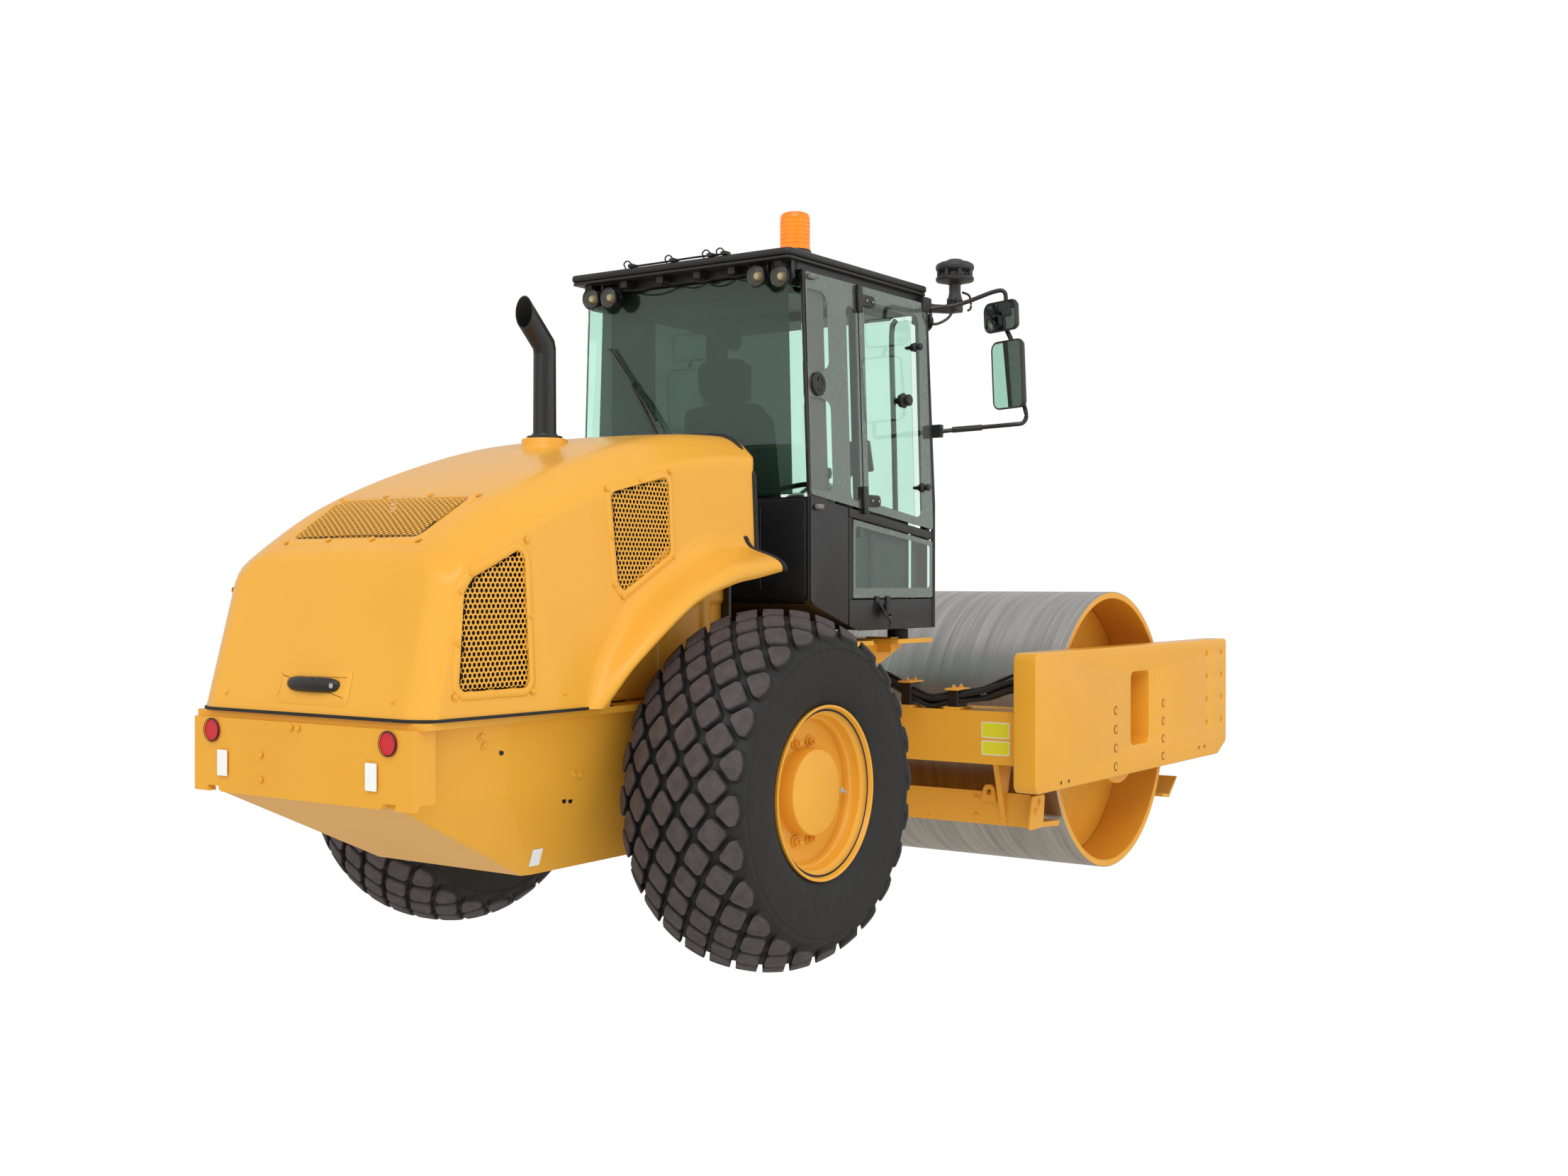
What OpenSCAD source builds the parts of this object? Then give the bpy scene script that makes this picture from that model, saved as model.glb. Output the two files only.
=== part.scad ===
// Single drum vibratory soil compactor with an articulated frame and a cab.
// X forward, Y left, Z up, millimetres; the origin is on the ground at the middle
// of the overall length. Pieces of the rear frame are placed from the wheel axle,
// pieces of the drum frame from the drum axle.

/* [Machine] */
// Wheel axle to the back of the bumper
rear_overhang = 1691; // [1675:1:1760]
// Drum axle to the nose of the drum frame
nose_overhang = 1375; // [1350:1:1450]
// Wheel axle to the steering pivot
hitch_reach = 1500; // [1450:1:1540]
// Steering pivot to the rear face of the drum frame's rear crossbeam
hitch_gap = 370; // [365:1:400]
// Height of the shaft on which the drum frame rocks
hitch_z = 800; // [780:1:820]

/* [Wheels] */
// Outer diameter of a tyre over its lugs
tyre_d = 1478; // [1440:1:1500]
// Width of a tyre
tyre_w = 580; // [560:1:590]
// Middle of the left tyre to the middle of the right one
track_w = 1820; // [1810:1:1850]
// Diameter over the rim flanges
rim_d = 708; // [690:1:730]
// Diameter of the hub drum
hub_d = 350; // [320:1:380]
// Diameter of the axle tube
axle_d = 210; // [180:1:230]
// Diameter of the wheel spindle
spindle_d = 140; // [120:1:160]

/* [Drum] */
// Diameter of the drum
drum_d = 1534; // [1500:1:1550]
// Width of the drum
drum_w = 2134; // [2100:1:2140]
// Thickness of the drum shell
shell_t = 42; // [25:1:50]
// Depth of the drum heads inside the shell
head_depth = 260; // [200:1:300]
// Thickness of a drum head
head_t = 30; // [20:1:40]
// Diameter of the drum journal
journal_d = 180; // [150:1:220]

/* [Drum frame] */
// Gap between an end of the drum and a side plate
drum_gap = 39; // [30:1:60]
// Thickness of a side plate
plate_t = 127; // [100:1:135]
// Upper edge of the side plates
plate_top = 1238; // [1200:1:1240]
// Lower edge of the side plates
plate_bottom = 543; // [500:1:600]
// Drum axle to the rear end of the side plates
plate_rear = 1310; // [1290:1:1330]
// Drum axle to the rear face of the rear crossbeam
beam_rear = 1233; // [1200:1:1250]
// Depth of the rear crossbeam along the machine
beam_depth = 320; // [250:1:350]
// Underside of the rear crossbeam
beam_bottom = 670; // [640:1:690]
// Upper side of the rear crossbeam
beam_top = 937; // [920:1:945]

/* [Rear frame] */
// Half width of the bumper
bumper_half = 589; // [570:1:600]
// Upper edge of the bumper and seam under the hood
deck_z = 1105; // [1095:1:1115]
// Lower edge of the bumper
bumper_bottom = 804; // [780:1:830]
// Height of the belly
belly_z = 465; // [440:1:500]
// Thickness of the frame's plates
wall_t = 16; // [10:1:20]

/* [Hood] */
// Thickness of the hood shell
hood_t = 14; // [8:1:20]
// Wheel axle to the hood's hinge
hood_hinge_x = 350; // [330:1:370]
// Height of the hood's hinge
hood_hinge_z = 2150; // [2130:1:2160]
// Diameter of the exhaust pipe
stack_d = 130; // [110:1:140]
// Height of the exhaust tip
stack_top = 2780; // [2700:1:2800]

/* [Cab] */
// Wheel axle to the cab's rear wall
cab_rear = 624; // [610:1:640]
// Wheel axle to the cab's front wall
cab_front = 1760; // [1740:1:1780]
// Half width of the cab at its waist
cab_half = 673; // [660:1:680]
// Half width of the cab under the roof
cab_half_top = 633; // [620:1:640]
// Underside of the cab
cab_bottom = 1353; // [1345:1:1360]
// Top of the roof
roof_top = 3085; // [3060:1:3100]
// Thickness of the roof slab
roof_t = 44; // [40:1:60]
// Thickness of the cab's posts and panels
post_t = 55; // [40:1:60]
// Thickness of the window glass
glass_t = 8; // [5:1:10]

/* [Hidden] */
$fn = 48;

YELLOW = "#e8b054";
BLACK = "#2c2c2e";
STEEL = "#9a9a98";
RUBBER = "#262424";
GLASS = [0.35, 0.45, 0.42, 0.5];

// running clearance of a shaft in its bore, and the gap of a piece beside another
fit_gap = 0.05;
seat_gap = 0.3;
turn_gap = 8;

wheelbase = hitch_reach + hitch_gap + beam_rear;
frame_w = drum_w + 2 * (drum_gap + plate_t);
overall_l = rear_overhang + wheelbase + nose_overhang;
axle_x = rear_overhang - overall_l / 2;
drum_x = axle_x + wheelbase;
hitch_x = axle_x + hitch_reach;
tyre_r = tyre_d / 2;
drum_r = drum_d / 2;
plate_inner = frame_w / 2 - plate_t;

// Places a piece that is measured from the wheel axle, or from the drum axle.
module on_rear() { translate([axle_x, 0, 0]) children(); }
module on_drum() { translate([drum_x, 0, 0]) children(); }
module both_sides() { children(); mirror([0, 1, 0]) children(); }

// Extrudes an outline drawn in X and Z from y0 to y1.
module across(y0, y1) { translate([0, y1, 0]) rotate([90, 0, 0]) linear_extrude(y1 - y0) children(); }
// Extrudes an outline drawn in Y and Z from x0 to x1.
module along(x0, x1) { translate([x0, 0, 0]) rotate([90, 0, 90]) linear_extrude(x1 - x0) children(); }
// Round bar along Y or along X.
module bar_y(r, y0, y1) { translate([0, y0, 0]) rotate([-90, 0, 0]) cylinder(r = r, h = y1 - y0); }
module bar_x(r, x0, x1) { translate([x0, 0, 0]) rotate([0, 90, 0]) cylinder(r = r, h = x1 - x0); }
// A block given by its lowest corner and its highest corner.
module block(a, b) { translate(a) cube(b - a); }
// Straight round rod between two points.
module rod_between(a, b, r) {
    d = b - a;
    l = norm(d);
    translate(a) rotate([0, acos(d[2] / l), atan2(d[1], d[0])]) cylinder(r = r, h = l, $fn = 24);
}
// Skin through rings of points that all have the same count.
module loft(rings) {
    n = len(rings[0]);
    m = len(rings);
    points = [for (ring = rings) for (p = ring) p];
    sides = [for (i = [0:m - 2]) for (j = [0:n - 1]) let (a = i * n + j, b = i * n + (j + 1) % n)
        each [[a, b, b + n], [a, b + n, a + n]]];
    first = [for (j = [n - 1:-1:0]) j];
    last = [for (j = [0:n - 1]) (m - 1) * n + j];
    polyhedron(points = points, faces = concat(sides, [first, last]), convexity = 6);
}

// Tyre section from the rim outwards: radius and distance from the middle plane.
tyre_half = [
    [rim_d / 2 - 26 + seat_gap, tyre_w / 2 - 58 - seat_gap], [rim_d / 2 + 1, tyre_w / 2 - 58 - seat_gap],
    [rim_d / 2 + 30, tyre_w / 2 - 36], [rim_d / 2 + 80, tyre_w / 2 - 10], [rim_d / 2 + 150, tyre_w / 2],
    [rim_d / 2 + 225, tyre_w / 2 - 8], [tyre_r - 92, tyre_w / 2 - 26],
    [tyre_r - 40, tyre_w / 2 - 44], [tyre_r - 8, tyre_w / 2 - 62], [tyre_r, tyre_w / 2 - 90]
];
module tyre() {
    other_half = [for (i = [len(tyre_half) - 1:-1:0]) [tyre_half[i][0], -tyre_half[i][1]]];
    rotate([-90, 0, 0]) rotate_extrude($fn = 72) polygon(concat(tyre_half, other_half));
}

// Rim section: dished disc, hub drum and a blind bore for the spindle.
rim_face = tyre_w / 2 - 42;
disc_h = rim_face - 128;
hub_h = rim_face - 48;
module rim() {
    bead_r = rim_d / 2 - 26;
    seat = rim_face - 14;
    inner_r = bead_r - 14;
    rotate([-90, 0, 0]) rotate_extrude($fn = 72) polygon([
        [spindle_d / 2 + fit_gap, -20], [spindle_d / 2 + 55, -20], [spindle_d / 2 + 55, disc_h - 24],
        [inner_r - 40, disc_h - 24], [inner_r, disc_h - 60], [inner_r, 10 - seat],
        [rim_d / 2 - 14, -seat], [rim_d / 2 - 14, -rim_face], [rim_d / 2, -rim_face],
        [rim_d / 2, 2 - seat], [bead_r, 2 - seat], [bead_r, seat - 2], [rim_d / 2, seat - 2],
        [rim_d / 2, rim_face], [rim_d / 2 - 12, rim_face], [bead_r - 8, seat - 12],
        [bead_r - 14, rim_face - 52], [bead_r - 44, rim_face - 62], [bead_r - 52, disc_h + 24],
        [bead_r - 74, disc_h], [hub_d / 2, disc_h], [hub_d / 2, hub_h - 12],
        [hub_d / 2 - 12, hub_h], [0, hub_h], [0, hub_h - 30], [spindle_d / 2 + fit_gap, hub_h - 30]
    ]);
}
module tyre_left() { color(RUBBER) translate([axle_x, track_w / 2, tyre_r]) tyre(); }
module tyre_right() { mirror([0, 1, 0]) tyre_left(); }
module rim_left() { color(YELLOW) translate([axle_x, track_w / 2, tyre_r]) rim(); }
module rim_right() { mirror([0, 1, 0]) rim_left(); }

// Axle tube with the differential housing and a spindle in each wheel's bore.
module rear_axle() color(YELLOW) translate([axle_x, 0, tyre_r]) {
    wheel_y = track_w / 2;
    both_sides() {
        bar_y(axle_d / 2, 0, wheel_y - 40);
        bar_y(spindle_d / 2, wheel_y - 41, wheel_y + hub_h - 40);
    }
    rotate([-90, 0, 0]) rotate_extrude() polygon([
        [0, -170], [150, -170], [215, -90], [215, 90], [150, 170], [0, 170]]);
}

// Outline of the frame's tub at a height: rear x, rear half width, x of the bend,
// half width ahead of the bend, front x.
tub_front = hitch_reach - 640;
tub_levels = [
    [belly_z, -949, 395, -900, 410, tub_front - 300],
    [bumper_bottom, 40 - rear_overhang, 490, -1160, 520, tub_front - 70],
    [deck_z - 25, 40 - rear_overhang, 530, -1190, 570, tub_front]
];
module tub(levels, inset) {
    hull() for (v = levels) translate([0, 0, v[0]]) linear_extrude(0.01) polygon([
        [v[1] + inset, inset - v[2]], [v[3] + inset, inset - v[4]], [v[5] - inset, inset - v[4]],
        [v[5] - inset, v[4] - inset], [v[3] + inset, v[4] - inset], [v[1] + inset, v[2] - inset]]);
}
module rear_body() color(YELLOW) on_rear() {
    lift = [for (v = tub_levels) [v[0] + wall_t, v[1], v[2], v[3], v[4], v[5]]];
    difference() {
        union() {
            tub(tub_levels, 0);
            block([40 - rear_overhang, -615, deck_z - 25], [tub_front, 615, deck_z]);
        }
        tub(lift, wall_t);
        block([-1500, -480, deck_z - 60], [tub_front - 60, 480, deck_z + 10]);
        translate([0, 0, tyre_r]) bar_y(axle_d / 2 + seat_gap, -700, 700);
    }
}

// Bumper plate with two notches below, and its short returns.
reflector_t = 6;
bumper_back = reflector_t - rear_overhang;
module rear_bumper() color(YELLOW) on_rear() {
    back = bumper_back;
    notch = [[430, 0], [505, 0], [512, 22], [450, 22]];
    difference() {
        union() {
            block([back, -bumper_half, bumper_bottom], [40 - rear_overhang - seat_gap, bumper_half, deck_z - 23]);
            both_sides() block([back + 30, bumper_half - 14, bumper_bottom + 20],
                [back + 110, bumper_half, deck_z - 25 - seat_gap]);
        }
        both_sides() along(back - 1, back + 41)
            translate([0, bumper_bottom - 0.5]) polygon(notch);
    }
}
module reflectors() color("#d0323c") on_rear() both_sides()
    translate([-rear_overhang, 478, deck_z - 71]) bar_x(42, 0, reflector_t);

// Front wall of the tub, hitch ears and cylinder clevises.
ear_t = 45;
ear_gap = 400;
ear_low = hitch_z - ear_gap / 2 - ear_t;
ear_high = hitch_z + ear_gap / 2;
pin_d = 90;
clevis_x = tub_front + 70;
clevis_y = 345;
module ear() {
    difference() {
        linear_extrude(ear_t) union() {
            polygon([[tub_front + 20, -440], [hitch_reach, -125], [hitch_reach, 125], [tub_front + 20, 440]]);
            translate([hitch_reach, 0]) circle(r = 125);
        }
        translate([hitch_reach, 0, -1]) cylinder(d = pin_d + 2 * fit_gap, h = ear_t + 2);
    }
}
module hitch_frame() color(YELLOW) on_rear() {
    difference() {
        union() {
            block([tub_front + seat_gap, -480, ear_low - 20], [tub_front + 32, 480, deck_z + 60]);
            translate([0, 0, ear_low]) ear();
            translate([0, 0, ear_high]) ear();
            both_sides() for (z = [hitch_z - 62, hitch_z + 40])
                block([tub_front + 31, clevis_y - 60, z], [clevis_x + 45, clevis_y + 60, z + 22]);
        }
        both_sides() translate([clevis_x, clevis_y, hitch_z - 70]) cylinder(r = 25 + fit_gap, h = 140);
    }
}

// Steering cylinders: pivot on the clevis, eye beside the yoke's arm.
arm_x = 40;
arm_y = 230;
eye_r = 42;
// travel each way from straight ahead, and the bottom of the barrel's bore
cyl_travel = 140;
bore_x = 60;
cyl_dir = [hitch_reach + arm_x - clevis_x, arm_y - clevis_y];
cyl_turn = atan2(cyl_dir[1], cyl_dir[0]);
cyl_l = norm(cyl_dir);
barrel_l = cyl_l - eye_r - cyl_travel - 25;
module at_cylinder() translate([axle_x + clevis_x, clevis_y, hitch_z]) rotate([0, 0, cyl_turn]) children();
module steer_barrel() color(BLACK) at_cylinder() difference() {
    union() {
        translate([0, 0, -38]) cylinder(r = 32, h = 76);
        bar_x(36, 36, barrel_l);
        bar_x(28, 0, 40);
        translate([0, 0, -64]) cylinder(r = 25, h = 128);
    }
    bar_x(22 + fit_gap, bore_x, barrel_l + 1);
}
module steer_rod() color(STEEL) at_cylinder() {
    bar_x(22, bore_x + cyl_travel + 10, cyl_l - 30);
    translate([cyl_l, 0, -30]) cylinder(r = eye_r, h = 60);
}
module steer_barrel_left() { steer_barrel(); }
module steer_barrel_right() { mirror([0, 1, 0]) steer_barrel(); }
module steer_rod_left() { steer_rod(); }
module steer_rod_right() { mirror([0, 1, 0]) steer_rod(); }

// Yoke on the steering pins, with arms for the cylinders and the rocking shaft.
rock_r = 80;
module hitch_yoke() color(YELLOW) translate([hitch_x, 0, hitch_z]) {
    translate([0, 0, turn_gap - ear_gap / 2]) cylinder(r = 95, h = ear_gap - 2 * turn_gap);
    translate([0, 0, -ear_gap / 2 - ear_t]) cylinder(r = pin_d / 2, h = ear_gap + 2 * ear_t);
    bar_x(rock_r, 60, wheelbase - hitch_reach - beam_rear + 200);
    for (z = [-30 - turn_gap - 25, 30 + turn_gap]) translate([0, 0, z]) linear_extrude(25)
        difference() {
            polygon([[-40, -arm_y], [arm_x, -arm_y - 45], [arm_x + 45, -arm_y], [110, 0],
                [arm_x + 45, arm_y], [arm_x, arm_y + 45], [-40, arm_y], [-80, 0]]);
        }
}

// One plain block for the engine and its cooling pack.
module engine_block() color(BLACK) on_rear() {
    block([-880, -330, belly_z + wall_t + seat_gap], [-250, 330, 1560]);
    block([-1250, -330, 900], [-879, 330, 1560]);
}

// Fixed wall at the front of the hood, with the hinge ears and pins.
ear_y = 380;
module bulkhead() color(BLACK) on_rear() {
    block([250, -500, deck_z + seat_gap], [266, 500, hood_hinge_z - 130]);
    both_sides() {
        across(ear_y, ear_y + 20) polygon([[250, hood_hinge_z - 260], [hood_hinge_x + 30, hood_hinge_z - 30],
            [hood_hinge_x + 30, hood_hinge_z + 25], [hood_hinge_x - 30, hood_hinge_z + 25], [250, hood_hinge_z - 130]]);
        translate([hood_hinge_x, 0, hood_hinge_z]) bar_y(12, ear_y - 60, ear_y + 10);
    }
}

// Platform under the cab: two rails, and a plate at each end that takes the mounts.
rail_top = cab_bottom - 68;
mount_x = [1030, 1600];
mount_y = 560;
module cab_platform() color(YELLOW) on_rear() {
    low = deck_z + seat_gap;
    both_sides() across(400, 520) polygon([[300, low], [tub_front - 10, low], [tub_front - 10, low + 60],
        [tub_front + 40, low + 60], [1500, deck_z + 80], [1700, rail_top - 25], [1700, rail_top],
        [560, rail_top], [300, rail_top - 60]]);
    for (x = mount_x) difference() {
        block([x - 170, -cab_half + 10, rail_top], [x + 170, cab_half - 10, rail_top + 22]);
        both_sides() translate([x, mount_y, rail_top - 1]) cylinder(r = 22, h = 30);
    }
}
module cab_mounts() color(RUBBER) on_rear() both_sides() for (x = mount_x)
    translate([x, mount_y, rail_top + 22]) cylinder(r = 52, h = cab_bottom - rail_top - 22);

// Cab body: lower box, tapered upper box, hollow, with windows and a door opening.
waist_z = 1985;
ceiling_z = roof_top - roof_t;
floor_z = 1440;
sill_z = 1515;
cut_x = 1050;
front_top = cab_front - 12;
module cab_solid(inset, low, high) {
    hull() for (v = [[low, cab_half, cab_front], [waist_z, cab_half, cab_front], [high, cab_half_top, front_top]])
        block([cab_rear + inset, inset - v[1], v[0]], [v[2] - inset, v[1] - inset, v[0] + 0.01]);
}
// Side window openings: x from, x to, z from, z to.
side_windows = [
    [680, 1045, 2000, ceiling_z - 60], [1125, 1700, 2000, ceiling_z - 60], [1010, 1700, 1560, 1860]
];
module cab_shell() color(BLACK) on_rear() {
    hinge_leaves();
    cab_walls();
}
module cab_walls() difference() {
    cab_solid(0, cab_bottom, ceiling_z - 0.02);
    difference() {
        cab_solid(post_t, floor_z, ceiling_z + 1);
        across(-cab_half, cab_half) polygon([[cab_rear, floor_z - 5], [cut_x - 40, floor_z - 5], [cab_rear, 1570]]);
    }
    across(-cab_half - 10, cab_half + 10)
        polygon([[cab_rear - 1, cab_bottom - 1], [cut_x, cab_bottom - 1], [cab_rear - 1, 1500]]);
    for (w = side_windows) across(-cab_half - 10, -cab_half + 110)
        polygon([[w[0], w[2]], [w[1], w[2]], [w[1], w[3]], [w[0], w[3]]]);
    across(cab_half - 110, cab_half + 10) polygon([[1095, sill_z], [1705, sill_z],
        [1705, ceiling_z - 45], [1095, ceiling_z - 45]]);
    across(cab_half - 110, cab_half + 10) polygon([[680, 2000], [1045, 2000],
        [1045, ceiling_z - 60], [680, ceiling_z - 60]]);
    along(cab_rear - 10, cab_rear + 80) polygon([[-560, 2020], [560, 2020],
        [540, ceiling_z - 60], [-540, ceiling_z - 60]]);
    along(cab_front - 90, cab_front + 10) polygon([[-600, 1560], [600, 1560],
        [570, ceiling_z - 60], [-570, ceiling_z - 60]]);
}
roof_rear = 500;
roof_half = 651;
module cab_roof() color(BLACK) on_rear()
    block([roof_rear, -roof_half, ceiling_z], [cab_front - 10, roof_half, roof_top]);

// Front wall and half width of the cab at a height above the waist.
function cab_front_at(z) = cab_front + (front_top - cab_front) * (z - waist_z) / (ceiling_z - waist_z);
function cab_half_at(z) = cab_half + (cab_half_top - cab_half) * max(0, z - waist_z) / (ceiling_z - waist_z);
module glass_rear() color(GLASS) on_rear() along(cab_rear - glass_t, cab_rear)
    polygon([[-cab_half + 4, waist_z], [cab_half - 4, waist_z],
        [cab_half_top - 4, ceiling_z - 8], [-cab_half_top + 4, ceiling_z - 8]]);
// A pane on the cab's leaning side: x from, x to, z from, z to.
module side_pane(x0, x1, z0, z1) {
    a = cab_half_at(max(z0, waist_z)) + fit_gap;
    b = cab_half_at(z1) + fit_gap;
    along(x0, x1) polygon([[-a - glass_t, z0], [-a, z0], [-b, z1], [-b - glass_t, z1]]);
}
module glass_sides() color(GLASS) on_rear() {
    mirror([0, 1, 0]) side_pane(cab_rear + 5, hinge_x - 56, waist_z, ceiling_z - 10);
    side_pane(cab_rear + 5, 1080, waist_z, ceiling_z - 10);
    side_pane(1084, cab_front - 16, waist_z, ceiling_z - 10);
    block([985, -cab_half - glass_t, 1512], [cab_front - 5, -cab_half, 1850]);
}
module glass_front() color(GLASS) on_rear() along(cab_front - 40, cab_front - 32)
    polygon([[-599, 1561], [599, 1561], [567, ceiling_z - 61], [-567, ceiling_z - 61]]);

// Seat with its suspension box, cushion and back.
module driver_seat() color(BLACK) on_rear() {
    block([1020, -200, floor_z], [1290, 200, floor_z + 260]);
    block([930, -250, floor_z + 260], [1420, 250, floor_z + 400]);
    across(-240, 240) polygon([[900, floor_z + 400], [1040, floor_z + 400], [960, floor_z + 1000],
        [840, floor_z + 1000]]);
}
module steering_console() color(BLACK) on_rear() {
    across(-90, 90) polygon([[1500, floor_z], [1650, floor_z], [1580, floor_z + 520], [1500, floor_z + 560]]);
    translate([1500, 0, floor_z + 590]) rotate([0, -20, 0]) rotate_extrude()
        translate([190, 0]) circle(r = 14, $fn = 16);
    translate([1500, 0, floor_z + 590]) rotate([0, -20, 0]) {
        translate([0, 0, -40]) cylinder(r = 30, h = 46);
        for (a = [0, 120, 240]) rotate([0, 0, a]) bar_x(9, 20, 180);
    }
}

// Work lights: x of the lens, y, z of the centre, turned to the rear or the front.
lamps = [
    [530, 540, 2964, -1], [530, 428, 2961, -1], [530, -445, 2975, -1], [530, -575, 2961, -1],
    [1800, 600, 2912, 1], [1800, -600, 2912, 1]
];
module work_lights() color(BLACK) on_rear() for (v = lamps) translate([v[0], v[1], v[2]]) {
    rotate([0, v[3] * 90, 0]) rotate_extrude($fn = 32) polygon([[0, 0], [52, 0], [52, 14], [44, 14], [44, 8], [0, 8]]);
    rotate([0, -v[3] * 90, 0]) cylinder(r1 = 50, r2 = 30, h = 40, $fn = 32);
    if (v[3] < 0) block([10, -10, 30], [30, 10, ceiling_z - v[2]]);
    else block([cab_front_at(v[2]) + seat_gap + 0.4 - v[0], -12, -12], [-20, 12, 12]);
}
module beacon() color("#f08a1c") on_rear() translate([840, -450, roof_top]) {
    cylinder(r = 70, h = 64);
    translate([0, 0, 64]) cylinder(r1 = 72, r2 = 70, h = 62);
    translate([0, 0, 126]) cylinder(r1 = 66, r2 = 60, h = 108);
}
module receiver_post() color(BLACK) on_rear() {
    block([cab_front - 10 + seat_gap, -640, ceiling_z + 5], [cab_front + 30, -560, ceiling_z + 35]);
    rod_between([cab_front + 20, -610, ceiling_z + 20], [1938, -700, ceiling_z + 20], 14);
    translate([1938, -700, ceiling_z]) {
        cylinder(r = 30, h = 130);
        translate([0, 0, 130]) cylinder(r1 = 60, r2 = 100, h = 30);
        translate([0, 0, 160]) cylinder(r = 100, h = 42);
    }
}
// Mirror arms with a small and a large head on each side.
module mirrors() color(BLACK) on_rear() both_sides() {
    for (z = [2402, 2990]) block([cab_front_at(z) + seat_gap + 0.4, 590, z - 20], [cab_front + 30, 640, z + 20]);
    rod_between([cab_front + 15, 620, 2402], [1900, 1100, 2406], 11);
    rod_between([1900, 1100, 2397], [1900, 1100, 2969], 12);
    rod_between([cab_front + 15, 610, 2990], [1900, 1100, 2960], 11);
    for (v = [[2510, 2790, 1000, 230], [2820, 2990, 970, 200]])
        block([1866, v[2] - v[3] / 2, v[0]], [1897, v[2] + v[3] / 2, v[1]]);
}
// Access steps on the left, hung from the platform.
module access_steps() color(BLACK) on_rear() {
    for (x = [865, 1165]) block([x, cab_half - 10 + seat_gap, 560], [x + 20, 900, rail_top + 20]);
    for (z = [570, 830, 1090]) block([884, 680, z], [1166, 900, z + 25]);
}

// Hood sections: x, top height, shoulder height, half width at the shoulder.
hood_stations = [
    [-1655, 1160, 1145, 520], [-1560, 1630, 1560, 545], [-1470, 1720, 1650, 575],
    [-1250, 1865, 1765, 600], [-1000, 1980, 1865, 610], [-700, 2080, 1962, 615],
    [-400, 2165, 2035, 618], [-100, 2222, 2090, 620], [400, 2246, 2130, 622]
];
hood_bottom = deck_z + 3;
function hood_top_at(x) = lookup(x, [for (s = hood_stations) [s[0], s[1]]]);
hood_side = 655;
function hood_ring(s, inset) = [
    [s[0], -(s[3] + (hood_side - s[3]) * min(1, (s[2] - hood_bottom) / 500)) + inset, hood_bottom],
    [s[0], -s[3] + inset, s[2]],
    [s[0], -s[3] * 0.78 + inset * 0.4, s[1] - inset],
    [s[0], s[3] * 0.78 - inset * 0.4, s[1] - inset],
    [s[0], s[3] - inset, s[2]],
    [s[0], s[3] + (hood_side - s[3]) * min(1, (s[2] - hood_bottom) / 500) - inset, hood_bottom]
];
module arch_cut() across(-900, 900) translate([0, tyre_r]) intersection() {
    circle(r = 880, $fn = 96);
    translate([-900, 0]) square([1400, 1000]);
}
stack_x = -400;
stack_y = -13;
boss_top = 2205;
// Skin of the hood between two depths under its surface.
module hood_skin(outer, inner) difference() {
    translate([outer, 0, 0]) loft([for (s = hood_stations) hood_ring(s, outer)]);
    translate([inner, 0, -1]) loft([for (s = hood_stations) hood_ring(s, inner)]);
}
// Outlines of the side grilles in X and Z, from the wheel axle.
grille_outlines = [
    [[-1504, 1205], [-1166, 1206], [-1175, 1718], [-1424, 1606], [-1469, 1551]],
    [[-664, 1585], [-629, 1551], [-327, 1704], [-327, 2018], [-690, 1935]]
];
module hood_shell() color(YELLOW) on_rear() {
    difference() {
        union() {
            hood_skin(0, hood_t);
            translate([stack_x, stack_y, boss_top - 95]) cylinder(r1 = stack_d / 2 + 60, r2 = stack_d / 2 + 30, h = 95);
        }
        arch_cut();
        for (g = grille_outlines) across(-800, 800) polygon(g);
    }
    both_sides() across(hood_side - 70, 800) translate([0, tyre_r]) difference() {
        circle(r = 930, $fn = 96);
        circle(r = 868, $fn = 96);
        translate([-1000, -1000]) square([2000, 1400]);
        translate([392, -1000]) square([1000, 2000]);
    }
    both_sides() difference() {
        across(ear_y - 30, ear_y - 12) polygon([[hood_hinge_x - 60, hood_hinge_z - 40],
            [hood_hinge_x + 30, hood_hinge_z - 40], [hood_hinge_x + 30, hood_top_at(hood_hinge_x + 30) - hood_t / 2],
            [hood_hinge_x - 60, hood_top_at(hood_hinge_x - 60) - hood_t / 2]]);
        translate([hood_hinge_x, 0, hood_hinge_z]) bar_y(12 + fit_gap, 0, ear_y + 10);
    }
}
module hood_grilles() color(BLACK) on_rear() intersection() {
    hood_skin(3, 9);
    for (g = grille_outlines) across(-800, 800) offset(delta = -seat_gap) polygon(g);
}
// Rear face of the hood at a height.
function hood_back_at(z) = lookup(z, [for (s = [hood_stations[0], hood_stations[1]]) [s[1], s[0]]]);
handle_low = 1193;
handle_high = 1247;
module hood_handle() color(BLACK) on_rear() across(-172, 108) polygon([
    [hood_back_at(handle_low) - seat_gap, handle_low], [hood_back_at(handle_high) - seat_gap, handle_high],
    [hood_back_at(handle_high) - 26, handle_high], [hood_back_at(handle_low) - 26, handle_low]]);
module exhaust_stack() color(BLACK) on_rear() translate([stack_x, stack_y, 0]) {
    difference() {
        union() {
            translate([0, 0, boss_top]) cylinder(d = stack_d + 22, h = 26);
            translate([0, 0, boss_top]) cylinder(d = stack_d, h = stack_top - boss_top - 150);
            translate([0, 0, stack_top - 190]) rotate([0, -45, 0]) cylinder(d = stack_d, h = 230);
        }
        translate([0, 0, stack_top - 190]) rotate([0, -45, 0]) cylinder(d = stack_d - 12, h = 300);
        block([-400, -100, stack_top - 260], [-148, 100, stack_top + 200]);
    }
}

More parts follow.
